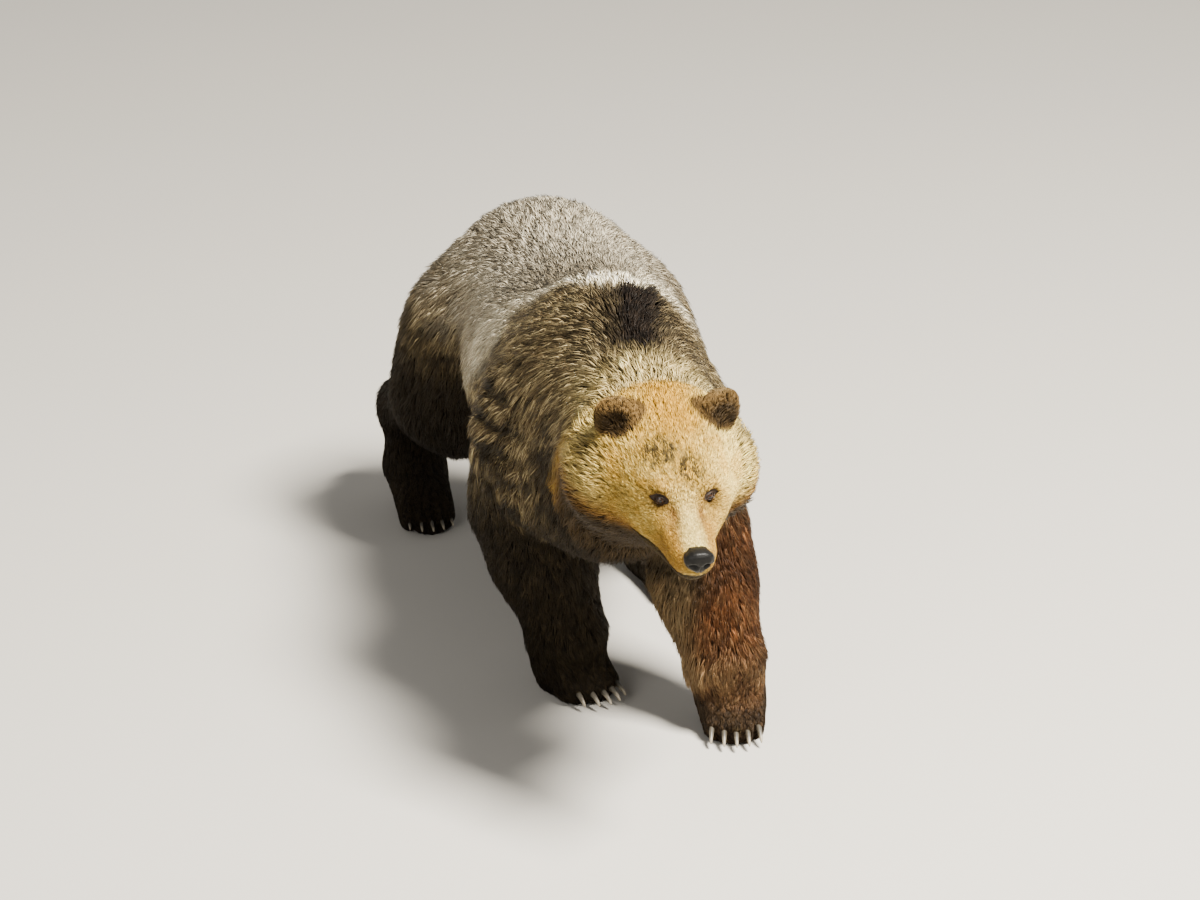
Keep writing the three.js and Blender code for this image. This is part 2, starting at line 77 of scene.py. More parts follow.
# The kinds of hide: the solids that each covers, the coat's depth over it, how strongly it is
# smoothed, and how many layers of locks cover it
HIDES = {
    "head": {"nodes": ["head", "lower_jaw"], "depth": 0.006, "smooth": 0.10, "cover": 4.0},
    "ear": {"nodes": ["ear_left", "ear_right"], "depth": 0.004, "smooth": 0.03, "cover": 4.6},
    "neck": {"nodes": ["neck"], "depth": 0.020, "smooth": 0.8, "cover": 5.0},
    "trunk": {"nodes": ["trunk"], "depth": 0.019, "smooth": 1.0, "cover": 4.6},
    "tail": {"nodes": ["tail"], "depth": 0.010, "smooth": 0.3, "cover": 4.0},
    "upper": {"nodes": limb_nodes("upper", "thigh"), "depth": 0.015, "smooth": 0.8, "cover": 4.6},
    "lower": {"nodes": limb_nodes("forearm", "shank"), "depth": 0.011, "smooth": 0.45, "cover": 4.6},
    "paw": {"nodes": limb_nodes("paw", "paw"), "depth": 0.004, "smooth": 0.10, "cover": 3.8},
}
KINDS = list(HIDES)
FLESH = [node for hide in HIDES.values() for node in hide["nodes"]]


def middle(node):
    """The middle of a solid's box."""
    low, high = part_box(node)
    return np.array((low + high) / 2)


def unit(vectors):
    """Vectors made one long."""
    vectors = np.asarray(vectors, float)
    return vectors / np.maximum(np.linalg.norm(vectors, axis=-1, keepdims=True), 1e-12)


# The head's own directions. FACE_DROP is how far the nose lies below level, seen from between the
# ears, and the other two go from there to the middle of the braincase.
FACE_DROP = math.radians(18.6)
CROWN_AHEAD = 0.0113
CROWN_DROP = 0.1025

HEAD_LEFT = unit(middle("ear_left") - middle("ear_right"))
CROWN = (middle("ear_left") + middle("ear_right")) / 2
FACE_LINE = unit(middle("nose") - CROWN)
HEAD_AHEAD = FACE_LINE * math.cos(FACE_DROP) + np.cross(FACE_LINE, HEAD_LEFT) * math.sin(FACE_DROP)
HEAD_UP = np.cross(HEAD_AHEAD, HEAD_LEFT)
HEAD_AXES = np.array([HEAD_LEFT, HEAD_AHEAD, HEAD_UP])
BRAIN = CROWN + HEAD_AHEAD * CROWN_AHEAD - HEAD_UP * CROWN_DROP


def to_head(points):
    """Places as (left, ahead, up) of the middle of the braincase."""
    return (points - BRAIN) @ HEAD_AXES.T


def from_head(places):
    """The world places of points given in the head's own directions."""
    return np.asarray(places, float) @ HEAD_AXES + BRAIN


EYES = {side: middle("eye_" + side) for side in SIDES}
NOSE = to_head(middle("nose"))

# ---- Settings ------------------------------------------------------------------------------------


def length(name, description, default):
    """A setting that is a length."""
    return FloatProperty(name=name, description=description, default=default, min=0.0, unit="LENGTH")


def angle(name, description, degrees):
    """A setting that is an angle, given in degrees."""
    return FloatProperty(
        name=name, description=description, default=math.radians(degrees), subtype="ANGLE"
    )


def colour(name, description, default):
    """A setting that is a colour."""
    return FloatVectorProperty(
        name=name, description=description, default=default, size=3, min=0.0, max=1.0, subtype="COLOR"
    )


class BearSkinSettings(bpy.types.PropertyGroup):
    """The skin under the coat."""

    grain: length("Grain", "Size of the skin's faces before the head is refined", 0.0068)
    overlap: length("Overlap", "How far each solid is grown so that the cuts close", 0.0015)
    rounds: IntProperty(name="Smoothing", description="Rounds of smoothing", default=84, min=0)


class BearCoatSettings(bpy.types.PropertyGroup):
    """The length and fullness of the coat."""

    body: length("Body", "Length of the hair on the trunk", 0.052)
    ruff: length("Ruff", "Length of the hair on the cheeks and round the neck", 0.044)
    face: length("Face", "Length of the hair on the forehead", 0.015)
    muzzle: length("Muzzle", "Length of the hair on the muzzle", 0.0075)
    leg: length("Legs", "Length of the hair on the legs", 0.036)
    foot: length("Feet", "Length of the hair on the feet", 0.017)
    fringe: length("Fringe", "Extra length behind the forelegs and under the belly", 0.03)
    locks: IntProperty(name="Locks", description="How many locks there are in all", default=246000, min=1000)
    clump: FloatProperty(
        name="Clumping", description="How far neighbouring locks run together", default=0.5, min=0.0, max=1.0
    )
    seed: IntProperty(name="Seed", description="Start of the chance in the coat", default=11)


class BearColours(bpy.types.PropertyGroup):
    """The colours of the coat and of the bare parts."""

    straw: colour("Straw", "Cheeks and forehead", (0.75, 0.51, 0.10))
    # Cream also paints the light on the left of the head
    cream: colour("Cream", "Halo behind the ears and the palest tips", (0.94, 0.76, 0.27))
    gold: colour("Gold", "Nape and between the ears", (0.68, 0.38, 0.035))
    rust: colour("Rust", "Edge of the jaw and sides of the muzzle", (0.30, 0.125, 0.025))
    olive: colour("Olive", "Ears", (0.19, 0.115, 0.036))
    umber: colour("Umber", "Dark hair on the body", (0.082, 0.061, 0.031))
    # Sable is partly dark fur and partly painted shade, on the hump, belly and legs
    sable: colour("Sable", "Hump, belly and hind legs", (0.010, 0.0065, 0.004))
    grizzle: colour("Grizzle", "Pale tips on the shoulders and neck", (0.74, 0.61, 0.33))
    silver: colour("Silver", "Tips over the back", (0.80, 0.74, 0.58))
    # Ivory is the painted highlight of the saddle
    ivory: colour("Ivory", "Saddle behind the hump", (0.99, 0.93, 0.72))
    auburn: colour("Auburn", "Left foreleg", (0.23, 0.092, 0.034))
    leather: colour("Leather", "Nose, lips and lids", (0.0032, 0.003, 0.0028))
    horn: colour("Horn", "Claws", (0.34, 0.29, 0.21))
    iris: colour("Iris", "Brown of the eye", (0.030, 0.012, 0.0045))


class BearFaceSettings(bpy.types.PropertyGroup):
    """Sizes of the eyes and the nose."""

    opening_width: length("Opening width", "Between the corners of an eye", 0.0225)
    opening_height: length("Opening height", "Between the lids", 0.0115)
    lid: length("Lid", "Thickness of the lids over the eyeball", 0.0018)
    iris_size: length("Iris", "Radius of the coloured ring", 0.0068)
    pupil_size: length("Pupil", "Radius of the pupil", 0.0031)
    tilt: angle("Tilt", "Lift of the eye's outer corner", 14)


class BearStageSettings(bpy.types.PropertyGroup):
    """The camera, the floor and the lights."""

    azimuth: angle("Azimuth", "Camera's turn from straight ahead", -12)
    elevation: angle("Elevation", "Camera's height above level", 22)
    distance: length("Distance", "From the camera to what it looks at", 10.0)
    lens: FloatProperty(name="Lens", description="Focal length in millimetres", default=155.0)
    aim: FloatVectorProperty(
        name="Aim",
        description="What the camera looks at",
        default=(-0.0055, -0.0271, 0.4574),
        subtype="TRANSLATION",
    )
    floor: colour("Floor", "Colour of the floor", (0.46, 0.44, 0.40))
    key: FloatProperty(name="Key", description="Power of the main light, in watts", default=2700.0)
    fill: FloatProperty(name="Fill", description="Power of the fill light, in watts", default=110.0)
    sky: FloatProperty(name="Sky", description="Strength of the light from all round", default=0.38)


# ---- Working on arrays and meshes ----------------------------------------------------------------


def ease(values, start, end):
    """0 up to start, 1 from end on, and a smooth rise between."""
    t = np.clip((np.asarray(values, float) - start) / (end - start), 0.0, 1.0)
    return t * t * (3.0 - 2.0 * t)


def lobe(points, centre, sizes):
    """1 at the centre, falling off smoothly over the given sizes."""
    return np.exp(-0.5 * (((points - np.asarray(centre)) / np.asarray(sizes)) ** 2).sum(axis=-1))


def mixed(start, end, amount):
    """Rows of start turned towards end by an amount for each row."""
    amount = np.asarray(amount, float)[..., None]
    return start * (1.0 - amount) + np.asarray(end) * amount


def mottle(points, size, seed):
    """Smooth noise between -1 and 1 that changes over about the given size."""
    grid = points / size + 13.7 * seed
    cell = np.floor(grid).astype(np.int64)
    part = grid - cell
    part = part * part * (3.0 - 2.0 * part)
    total = np.zeros(len(points))
    # Each corner of a cell has a chance value of its own, hashed from its whole coordinates
    for corner in np.ndindex(2, 2, 2):
        at = cell + np.array(corner)
        mix = (at[:, 0] * 73856093) ^ (at[:, 1] * 19349663) ^ (at[:, 2] * 83492791)
        mix = (mix * 1103515245 + 12345) & 0x7FFFFFFF
        mix = ((mix >> 7) * 48271) & 0x7FFFFFFF
        weight = np.prod(np.where(corner, part, 1.0 - part), axis=1)
        total += weight * (mix / 0x3FFFFFFF - 1.0)
    return total


def places_of(mesh):
    """A mesh's vertices as an array."""
    values = np.empty(len(mesh.vertices) * 3, np.float32)
    mesh.vertices.foreach_get("co", values)
    return values.reshape(-1, 3).astype(float)


def normals_of(mesh):
    """A mesh's vertex normals as an array."""
    values = np.empty(len(mesh.vertices) * 3, np.float32)
    mesh.vertex_normals.foreach_get("vector", values)
    return values.reshape(-1, 3).astype(float)


def put_places(mesh, places):
    """Moves a mesh's vertices to the rows of an array."""
    mesh.vertices.foreach_set("co", np.ascontiguousarray(places, np.float32).ravel())
    mesh.update()


def edges_of(mesh):
    """The two ends of each of a mesh's edges, as an array."""
    values = np.empty(len(mesh.edges) * 2, np.int32)
    mesh.edges.foreach_get("vertices", values)
    return values.reshape(-1, 2)


def mesh_of(work, name):
    """Turns a bmesh into a mesh of that name and lets it go."""
    mesh = bpy.data.meshes.new(name)
    work.to_mesh(mesh)
    work.free()
    return mesh


def spread(values, edges, rounds, rate):
    """Values at the vertices, averaged with their neighbours a number of times."""
    values = np.array(values, float)
    flat = values.ndim == 1
    if flat:
        values = values[:, None]
    count = len(values)
    ends = np.concatenate([edges[:, 0], edges[:, 1]])
    others = np.concatenate([edges[:, 1], edges[:, 0]])
    degree = np.maximum(np.bincount(ends, minlength=count), 1)[:, None]
    rate = np.broadcast_to(np.asarray(rate, float), (count,))[:, None]
    for _ in range(rounds):
        sums = np.stack(
            [np.bincount(ends, weights=column[others], minlength=count) for column in values.T], axis=1
        )
        values += rate * (sums / degree - values)
    return values[:, 0] if flat else values


def keep(mesh, name, values):
    """Stores values at the vertices under a name."""
    values = np.asarray(values, np.float32)
    if values.ndim == 1:
        layer = mesh.attributes.new(name, "FLOAT", "POINT")
        layer.data.foreach_set("value", values)
    elif values.shape[1] == 3:
        layer = mesh.attributes.new(name, "FLOAT_VECTOR", "POINT")
        layer.data.foreach_set("vector", values.ravel())
    else:
        layer = mesh.attributes.new(name, "FLOAT_COLOR", "POINT")
        layer.data.foreach_set("color", values.ravel())


def kept(mesh, name):
    """Values stored at the vertices under a name."""
    layer = mesh.attributes[name]
    wide = layer.data_type == "FLOAT_VECTOR"
    values = np.empty(len(mesh.vertices) * (3 if wide else 1), np.float32)
    layer.data.foreach_get("vector" if wide else "value", values)
    return (values.reshape(-1, 3) if wide else values).astype(float)


def show(name, mesh, finish, slot):
    """Puts a finished mesh on the bear, under its name."""
    piece = bpy.data.objects.new(name, mesh)
    bpy.context.scene.collection.objects.link(piece)
    mesh.materials.append(finish)
    mesh.shade_smooth()
    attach(piece, "root")
    return piece


def needed(name):
    """An object made by an earlier step."""
    if name not in bpy.data.objects:
        raise RuntimeError(f"{name} is made first")
    return bpy.data.objects[name]


# ---- Markings ------------------------------------------------------------------------------------

# The folds that the stride presses into the right shoulder
FOLD_SPACING = 0.052
FOLD_CENTRE = (-0.280, -0.250, 0.595)
FOLD_SIZES = (0.080, 0.100, 0.075)
FOLD_DEPTH = 0.011

# The two fields of dark flecks over the eyes: their middles in the head, and their sizes
FLECKS = (((-0.040, 0.095, 0.095), 0.023), ((0.012, 0.135, 0.082), 0.017))


def darker(shade, factor):
    """A colour with its channels multiplied: darker below 1, lighter above."""
    return tuple(factor * channel for channel in shade)


def stripe(distance, width):
    """1 where a distance is 0, falling off smoothly to both sides over the given width."""
    return np.exp(-0.5 * (distance / width) ** 2)


def held(values):
    """Values held between 0 and 1."""
    return np.clip(values, 0.0, 1.0)


def folded_over(places):
    """Places in the head with its right side turned over onto its left."""
    return np.column_stack([np.abs(places[:, 0]), places[:, 1], places[:, 2]])


def shoulder_folds(points):
    """1 down in the folds of the right shoulder, 0 between them."""
    wobble = 0.012 * mottle(points, 0.06, 9) + 0.15 * (points[:, 1] + 0.25)
    across = np.cos(2.0 * math.pi * (points[:, 2] + wobble) / FOLD_SPACING)
    return ease(across, -0.30, 0.45) * held(1.3 * lobe(points, FOLD_CENTRE, FOLD_SIZES))


class Pelt:
    """The coat's colour at the root and at the tip of each hair, laid on zone by zone.

    It also holds what the zones are worked out from: each hair's place on the bear and in the head,
    two sizes of cloud, and how pale and how dark the hair is, by chance and by painted clump shade.
    """

    def __init__(self, points, chance, paint):
        self.points = points
        self.x, self.y, self.z = points.T
        self.places = to_head(points)
        self.across, self.ahead, self.up = self.places.T
        self.side = np.abs(self.across)
        self.folded = folded_over(self.places)
        self.chance = chance
        self.cloud = mottle(points, 0.045, 1)
        self.patch = mottle(points, 0.13, 2)
        self.pale = ease(chance + 0.10 * self.cloud, 0.40, 0.85)
        self.dark = ease(-chance, -0.34, -0.12)
        # Roots darker than tips: partly the hair's own colour and partly painted shade deep in the coat
        self.root = np.tile(darker(paint.umber, 0.6), (len(points), 1))
        self.tip = np.tile(darker(paint.umber, 1.9), (len(points), 1))

    def wash(self, weight, root, tip):
        """Turns the colours towards those of a root and a tip, by a weight for each hair."""
        self.root = mixed(self.root, root, weight)
        self.tip = mixed(self.tip, tip, weight)


def mark_shoulders(pelt, paint):
    """Brown shoulders and neck, only some hairs pale-tipped, with painted shade in creases and folds."""
    pelt.wash(0.9 * pelt.pale, darker(paint.umber, 1.8), paint.grizzle)
    pelt.wash(0.55 * pelt.dark, darker(paint.umber, 0.35), darker(paint.umber, 0.8))
    # Painted shade: dark lines where the coat parts between clumps
    crease_shade = ease(mottle(pelt.points * np.array([0.6, 0.6, 1.9]), 0.027, 6), 0.0, 0.35)
    crease_shade = crease_shade * (0.3 + 0.65 * ease(-pelt.x, 0.10, 0.22)) * ease(-pelt.z, -0.80, -0.66)
    pelt.wash(crease_shade, darker(paint.umber, 0.2), darker(paint.umber, 0.4))
    # Painted shade down in the right shoulder's folds, which the skin also sinks into
    folds = shoulder_folds(pelt.points)
    pelt.wash(0.92 * folds, darker(paint.sable, 0.6), darker(paint.umber, 0.20))


def saddle_place(pelt):
    """How far behind the brown's end each hair is, and 0 on the spine to 1 well beside it."""
    line = -0.208 + 0.29 * ease(-pelt.x, 0.055, 0.175) + 0.36 * ease(pelt.x, 0.030, 0.130)
    line = line + 0.25 * ease(-pelt.z, -0.65, -0.42)
    beside = ease(np.abs(pelt.x + 0.01), 0.05, 0.13)
    behind = pelt.y - line - 0.010 * pelt.cloud
    return behind - beside * (0.025 * pelt.cloud + 0.035 * pelt.patch), beside


def mark_back(pelt, paint, behind):
    """Silver over the back and the rump, browner just behind the saddle and down the haunch."""
    back = ease(behind, -0.010, 0.035)
    high = ease(pelt.z + 0.03 * pelt.cloud, 0.50, 0.70)
    frosted = back * high * (0.84 + 0.16 * pelt.pale)
    pelt.wash(frosted, darker(paint.silver, 0.46), darker(paint.silver, 0.92))
    behind_saddle = ease(-pelt.y + 0.03 * pelt.cloud, -0.38, -0.02) * back * high
    pelt.wash(0.86 * behind_saddle, darker(paint.umber, 1.6), darker(paint.silver, 0.29))
    haunch = ease(pelt.y, 0.25, 0.5) * ease(-pelt.x, 0.02, 0.2) * ease(pelt.z, 0.42, 0.62)
    pelt.wash(0.6 * haunch * (1.0 - pelt.pale), darker(paint.umber, 0.8), darker(paint.umber, 2.4))


def mark_saddle_highlight(pelt, paint, behind, beside):
    """A painted highlight on the saddle where brown and silver meet, running back and down behind the
    shoulders.
    """
    # Painted highlight: the band where light catches the coat behind the hump
    saddle = stripe(behind, 0.019 + 0.024 * beside) * ease(pelt.z, 0.40, 0.66)
    saddle = held(1.4 * saddle) * (1.0 - beside * (0.50 - 0.45 * pelt.pale))
    pelt.wash(0.97 * saddle, darker(paint.ivory, 0.85), paint.ivory)


def mark_hump_shade(pelt, paint, behind):
    """Painted shade over the front of the hump, blackest in a streak along the spine."""
    ahead_of_saddle = ease(-behind, 0.018, 0.045)
    # Painted shade where the front of the hump faces away from the light
    hump = lobe(pelt.points, (-0.008, -0.355, 0.865), (0.075, 0.085, 0.060)) * ahead_of_saddle
    pelt.wash(0.72 * held(1.5 * hump), darker(paint.umber, 0.25), darker(paint.umber, 0.7))
    # The painted shade is darkest in a streak near the spine
    spine_shade = stripe(pelt.x - 0.2 * (pelt.y + 0.33) - 0.008 * pelt.cloud, 0.040)
    spine_shade = spine_shade * ease(pelt.y, -0.505, -0.425) * ease(pelt.z, 0.72, 0.80) * ahead_of_saddle
    pelt.wash(held(1.2 * spine_shade), darker(paint.sable, 0.8), paint.sable)


def mark_collar(pelt, paint):
    """A pale neck behind the ears."""
    collar = ease(pelt.ahead, -0.25, -0.13) * ease(pelt.up, -0.03, 0.07)
    pelt.wash(0.75 * collar * (0.5 + 0.5 * pelt.pale), darker(paint.grizzle, 0.7), paint.cream)


def mark_underside(pelt, paint):
    """Dark fur over the belly, lower flanks, hips, breast and legs, deepened by painted shade."""
    # Dark fur with painted shade over the hind legs and hips
    rear_fur_and_shade = ease(0.03 * pelt.patch - pelt.z, -0.58, -0.44) * ease(pelt.y, 0.18, 0.40)
    pelt.wash(rear_fur_and_shade, paint.sable, darker(paint.umber, 0.45))
    under_top = 0.50 + 0.09 * ease(-pelt.y, 0.0, 0.12)
    # Dark fur with painted shade under the body and down the legs
    under = ease(0.035 * pelt.patch + 0.025 * pelt.cloud - pelt.z, -under_top, -0.35)
    pelt.wash(0.97 * under, darker(paint.sable, 0.8), darker(paint.umber, 0.27))
    # Dark fur with a painted shadow of the head over the breast
    breast = ease(-pelt.y, 0.34, 0.44) * ease(0.02 * pelt.cloud - pelt.z, -0.73, -0.59)
    pelt.wash(0.95 * breast, darker(paint.sable, 0.8), darker(paint.umber, 0.36))


def mark_foreleg(pelt, paint):
    """An auburn left foreleg with some pale hairs, darker inside its top: dark fur and a painted shadow of
    the chin.
    """
    x, y, z = pelt.x, pelt.y, pelt.z
    foreleg = ease(0.03 * pelt.cloud - z, -0.49, -0.35) * ease(x, 0.0, 0.03) * ease(-y, 0.06, 0.16)
    pelt.wash(foreleg, darker(paint.auburn, 0.16), darker(paint.auburn, 0.88))
    ankle = stripe(z - 0.12, 0.035)
    pale = foreleg * held(0.2 * pelt.pale + 0.35 * ankle)
    pelt.wash(pale, darker(paint.auburn, 0.4), darker(paint.grizzle, 0.5))
    pelt.wash(0.8 * foreleg * pelt.dark, darker(paint.sable, 2.0), darker(paint.auburn, 0.3))
    patchy = 0.7 * foreleg * ease(pelt.patch + pelt.cloud, 0.0, 0.5)
    pelt.wash(patchy, darker(paint.sable, 1.5), darker(paint.auburn, 0.28))
    inside = ease(-x, -0.125, -0.07) * foreleg
    pelt.wash(0.6 * inside, darker(paint.umber, 0.5), darker(paint.grizzle, 0.4))
    # Dark fur inside the top of the leg, with a painted shadow of the chin over it
    armpit_fur_and_shadow = foreleg * ease(z, 0.25, 0.33) * ease(-x, -0.17, -0.08)
    pelt.wash(0.85 * armpit_fur_and_shadow, paint.sable, darker(paint.umber, 0.7))


def mark_toes(pelt, paint):
    """Dark toes on all four feet."""
    toes = ease(0.012 * pelt.cloud - pelt.z, -0.100, -0.050)
    pelt.wash(0.88 * toes, darker(paint.sable, 0.8), darker(paint.umber, 0.4))


def mark_forehead(pelt, paint, head):
    """Straw all over the head, with painted light on its left, tawny in patches and gold down the nape."""
    across, ahead, up = pelt.across, pelt.ahead, pelt.up
    pelt.wash(head, darker(paint.straw, 0.45), paint.straw)
    pelt.wash(0.7 * head * pelt.pale, darker(paint.straw, 0.75), paint.cream)
    pelt.wash(0.6 * head * pelt.dark, darker(paint.straw, 0.25), darker(paint.straw, 0.42))
    # Painted light: the left of the head paler, as where the light falls
    painted_sunlight = head * ease(across, 0.02, 0.12) * ease(up, -0.07, 0.0)
    pelt.wash(0.6 * painted_sunlight, darker(paint.cream, 0.7), paint.cream)
    tawny = 0.45 * ease(mottle(pelt.points, 0.024, 8), -0.2, 0.5) + 0.15 * ease(-across, 0.03, 0.10)
    tawny = tawny + 0.4 * stripe(across, 0.030) * ease(up, 0.05, 0.08)
    pelt.wash(0.8 * head * held(tawny), darker(paint.gold, 0.5), darker(paint.gold, 1.05))
    nape = head * stripe(across, 0.038) * ease(up, 0.05, 0.09) * ease(-ahead, -0.10, -0.02)
    pelt.wash(nape, darker(paint.gold, 0.6), paint.gold)


def mark_cheeks(pelt, paint, head):
    """A cream halo and ruffs whose dark edge is partly painted shadow, a rusty jaw and a throat darkened by
    painted shade.
    """
    side, ahead, up = pelt.side, pelt.ahead, pelt.up
    halo = head * ease(side, 0.06, 0.12) * ease(up, 0.0, 0.06) * ease(-ahead, -0.005, 0.04)
    pelt.wash(0.9 * halo, darker(paint.cream, 0.7), paint.cream)
    ruff = head * ease(side, 0.105, 0.150) * ease(up, -0.085, -0.03)
    pelt.wash(0.6 * ruff, darker(paint.cream, 0.4), darker(paint.cream, 0.9))
    # Dark fur along each ruff's edge, with a painted shadow below the ears
    edge = lobe(pelt.folded, (0.148, -0.020, 0.030), (0.016, 0.022, 0.040))
    edge = 0.7 * head * held(1.3 * edge * (0.5 + pelt.chance))
    pelt.wash(edge, paint.sable, darker(paint.umber, 1.2))
    jaw = head * ease(-up, 0.01, 0.065) * ease(-ahead - 0.2 * up, -0.16, -0.10)
    pelt.wash(0.8 * jaw, darker(paint.rust, 0.35), darker(paint.rust, 0.9))
    # Dark fur under the jaw, blackened by painted shade beneath the head
    throat_fur_and_shade = head * ease(-up, 0.050, 0.090) * ease(-ahead, -0.15, -0.11)
    pelt.wash(0.95 * throat_fur_and_shade, paint.sable, darker(paint.umber, 0.7))


def mark_muzzle(pelt, paint, head):
    """A pale bridge between rusty sides, a dark line from each eye, and painted shade on the lower jaw."""
    side, ahead, up = pelt.side, pelt.ahead, pelt.up
    bridge = head * stripe(pelt.across, 0.017) * ease(ahead, 0.15, 0.21) * ease(up, -0.01, 0.02)
    pelt.wash(0.85 * bridge, darker(paint.cream, 0.8), darker(paint.cream, 1.02))
    flank = head * ease(side, 0.016, 0.030) * ease(ahead, 0.165, 0.215) * ease(-up, -0.045, -0.01)
    pelt.wash(0.75 * flank, darker(paint.rust, 0.8), darker(paint.gold, 0.75))
    tear = head * lobe(pelt.folded, (0.024, 0.180, 0.024), (0.006, 0.026, 0.010))
    pelt.wash(np.clip(0.9 * tear, 0.0, 0.8), darker(paint.rust, 0.4), darker(paint.rust, 0.8))
    # Painted shade: the lower jaw darkened as if in shadow under the muzzle
    shade_below_mouth = ease(mouth_height(ahead) - up, -0.001, 0.006) * ease(ahead, 0.10, 0.13)
    pelt.wash(0.92 * head * shade_below_mouth, darker(paint.sable, 0.7), darker(paint.umber, 0.5))


def mark_flecks(pelt, paint, head):
    """Dark flecks over the eyes and a few down the muzzle, and dark skin close round each eye."""
    specks = 0.6 * mottle(pelt.points, 0.0042, 5) + 1.7 * (pelt.chance - 0.5)
    for place, size in FLECKS:
        spots = held(2.0 * lobe(pelt.places, place, (size, size, 1.4 * size)))
        spots = 0.92 * head * spots * ease(specks, -0.20, 0.12)
        pelt.wash(spots, paint.sable, darker(paint.umber, 0.8))
    dots = lobe(pelt.places, (0.0, 0.2, 0.04), (0.03, 0.05, 0.04)) * ease(specks, 0.55, 0.9)
    pelt.wash(0.6 * head * dots, paint.umber, darker(paint.umber, 1.5))
    for eye in EYES.values():
        near = stripe(np.linalg.norm(pelt.points - eye, axis=1), 0.0165)
        pelt.wash(np.clip(1.3 * near, 0.0, 0.9), darker(paint.rust, 0.15), darker(paint.rust, 0.35))


def mark_ears(pelt, paint):
    """Olive ears, the left one darker, blackest in the cup and paler along the rim."""
    for name, sign in (("ear_left", 1.0), ("ear_right", -1.0)):
        place = pelt.places - to_head(middle(name))
        near = np.linalg.norm(place / np.array([0.053, 0.046, 0.050]), axis=1)
        on_ear = ease(-near, -1.08, -0.90)
        pelt.wash(on_ear, darker(paint.olive, 0.5), darker(paint.olive, 1.1 - 0.3 * sign))
        cup = lobe(place, (0.004 * sign, 0.012, -0.010), (0.026, 0.018, 0.021))
        cup = on_ear * held(1.6 * cup)
        pelt.wash(0.95 * cup, darker(paint.sable, 0.7), darker(paint.olive, 0.16))
        rim = on_ear * ease(place[:, 2] - 0.5 * place[:, 1], 0.026, 0.044)
        pelt.wash(0.4 * rim, darker(paint.olive, 1.2), darker(paint.grizzle, 0.6))


def pelt_at(points, chance, paint):
    """The markings, from the place on the bear and a chance from 0 to 1 for each hair."""
    pelt = Pelt(points, chance, paint)
    mark_shoulders(pelt, paint)
    behind, beside = saddle_place(pelt)
    mark_back(pelt, paint, behind)
    mark_saddle_highlight(pelt, paint, behind, beside)
    mark_hump_shade(pelt, paint, behind)
    for mark in (mark_collar, mark_underside, mark_foreleg, mark_toes):
        mark(pelt, paint)
    head = ease(pelt.ahead + 0.35 * np.maximum(-pelt.up, 0.0), -0.115, -0.055) * (pelt.y < -0.45)
    for mark in (mark_forehead, mark_cheeks, mark_muzzle, mark_flecks):
        mark(pelt, paint, head)
    mark_ears(pelt, paint)
    return pelt


# ---- Skin ----------------------------------------------------------------------------------------


def grown_copy(node, amount):
    """A copy of a solid with its corners joined, grown all round by the amount."""
    solid = bmesh.new()
    solid.from_mesh(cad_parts[node].data)
    bmesh.ops.remove_doubles(solid, verts=solid.verts, dist=1e-6)
    solid.normal_update()
    moved = [vert.co + vert.normal * amount for vert in solid.verts]
    for vert, place in zip(solid.verts, moved):
        vert.co = place
    return mesh_of(solid, "grown")


def closed_flesh(sizes):
    """One closed mesh round all of the flesh solids."""
    whole = bmesh.new()
    for node in FLESH:
        mesh = grown_copy(node, sizes.overlap)
        whole.from_mesh(mesh)
        bpy.data.meshes.remove(mesh)
    block = bpy.data.objects.new("flesh", mesh_of(whole, "flesh"))
    bpy.context.scene.collection.objects.link(block)
    remesh = block.modifiers.new("Close", "REMESH")
    remesh.mode = "VOXEL"
    remesh.voxel_size = sizes.grain
    remesh.adaptivity = 0.0
    seen = block.evaluated_get(bpy.context.evaluated_depsgraph_get())
    closed = bpy.data.meshes.new_from_object(seen)
    mesh = block.data
    bpy.data.objects.remove(block)
    bpy.data.meshes.remove(mesh)
    return closed


def keep_largest(mesh):
    """Drops all but the largest connected part of a mesh."""
    edges = edges_of(mesh)
    label = np.arange(len(mesh.vertices))
    while True:
        lowest = label.copy()
        np.minimum.at(lowest, edges[:, 0], label[edges[:, 1]])
        np.minimum.at(lowest, edges[:, 1], label[edges[:, 0]])
        lowest = lowest[lowest]
        if (lowest == label).all():
            break
        label = lowest
    main_part = np.bincount(label).argmax()
    work = bmesh.new()
    work.from_mesh(mesh)
    stray = [vert for vert, own in zip(work.verts, label) if own != main_part]
    bmesh.ops.delete(work, geom=stray, context="VERTS")
    work.to_mesh(mesh)
    work.free()


def nearest_kinds(points, edges):
    """How much each vertex belongs to each kind of hide, blended over their borders."""
    places, faces, owners = [], [], []
    for kind, hide in enumerate(HIDES.values()):
        for node in hide["nodes"]:
            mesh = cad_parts[node].data
            start = len(places)
            places.extend(vert.co.copy() for vert in mesh.vertices)
            faces.extend([start + index for index in face.vertices] for face in mesh.polygons)
            owners.extend([kind] * len(mesh.polygons))
    tree = BVHTree.FromPolygons(places, faces)
    nearest = [owners[tree.find_nearest(Vector(point))[2]] for point in points]
    return spread(np.eye(len(KINDS))[nearest], edges, 14, 0.6)


def kinds_kept(mesh):
    """The share of each kind of hide stored at the vertices."""
    return np.column_stack([kept(mesh, "hide_" + kind) for kind in KINDS])


def share_of(kinds, kind):
    """The share of one kind of hide."""
    return kinds[:, KINDS.index(kind)]


def by_kind(kinds, key):
    """A value of the table of hides, blended by the shares of the kinds."""
    return kinds @ np.array([HIDES[kind][key] for kind in KINDS])


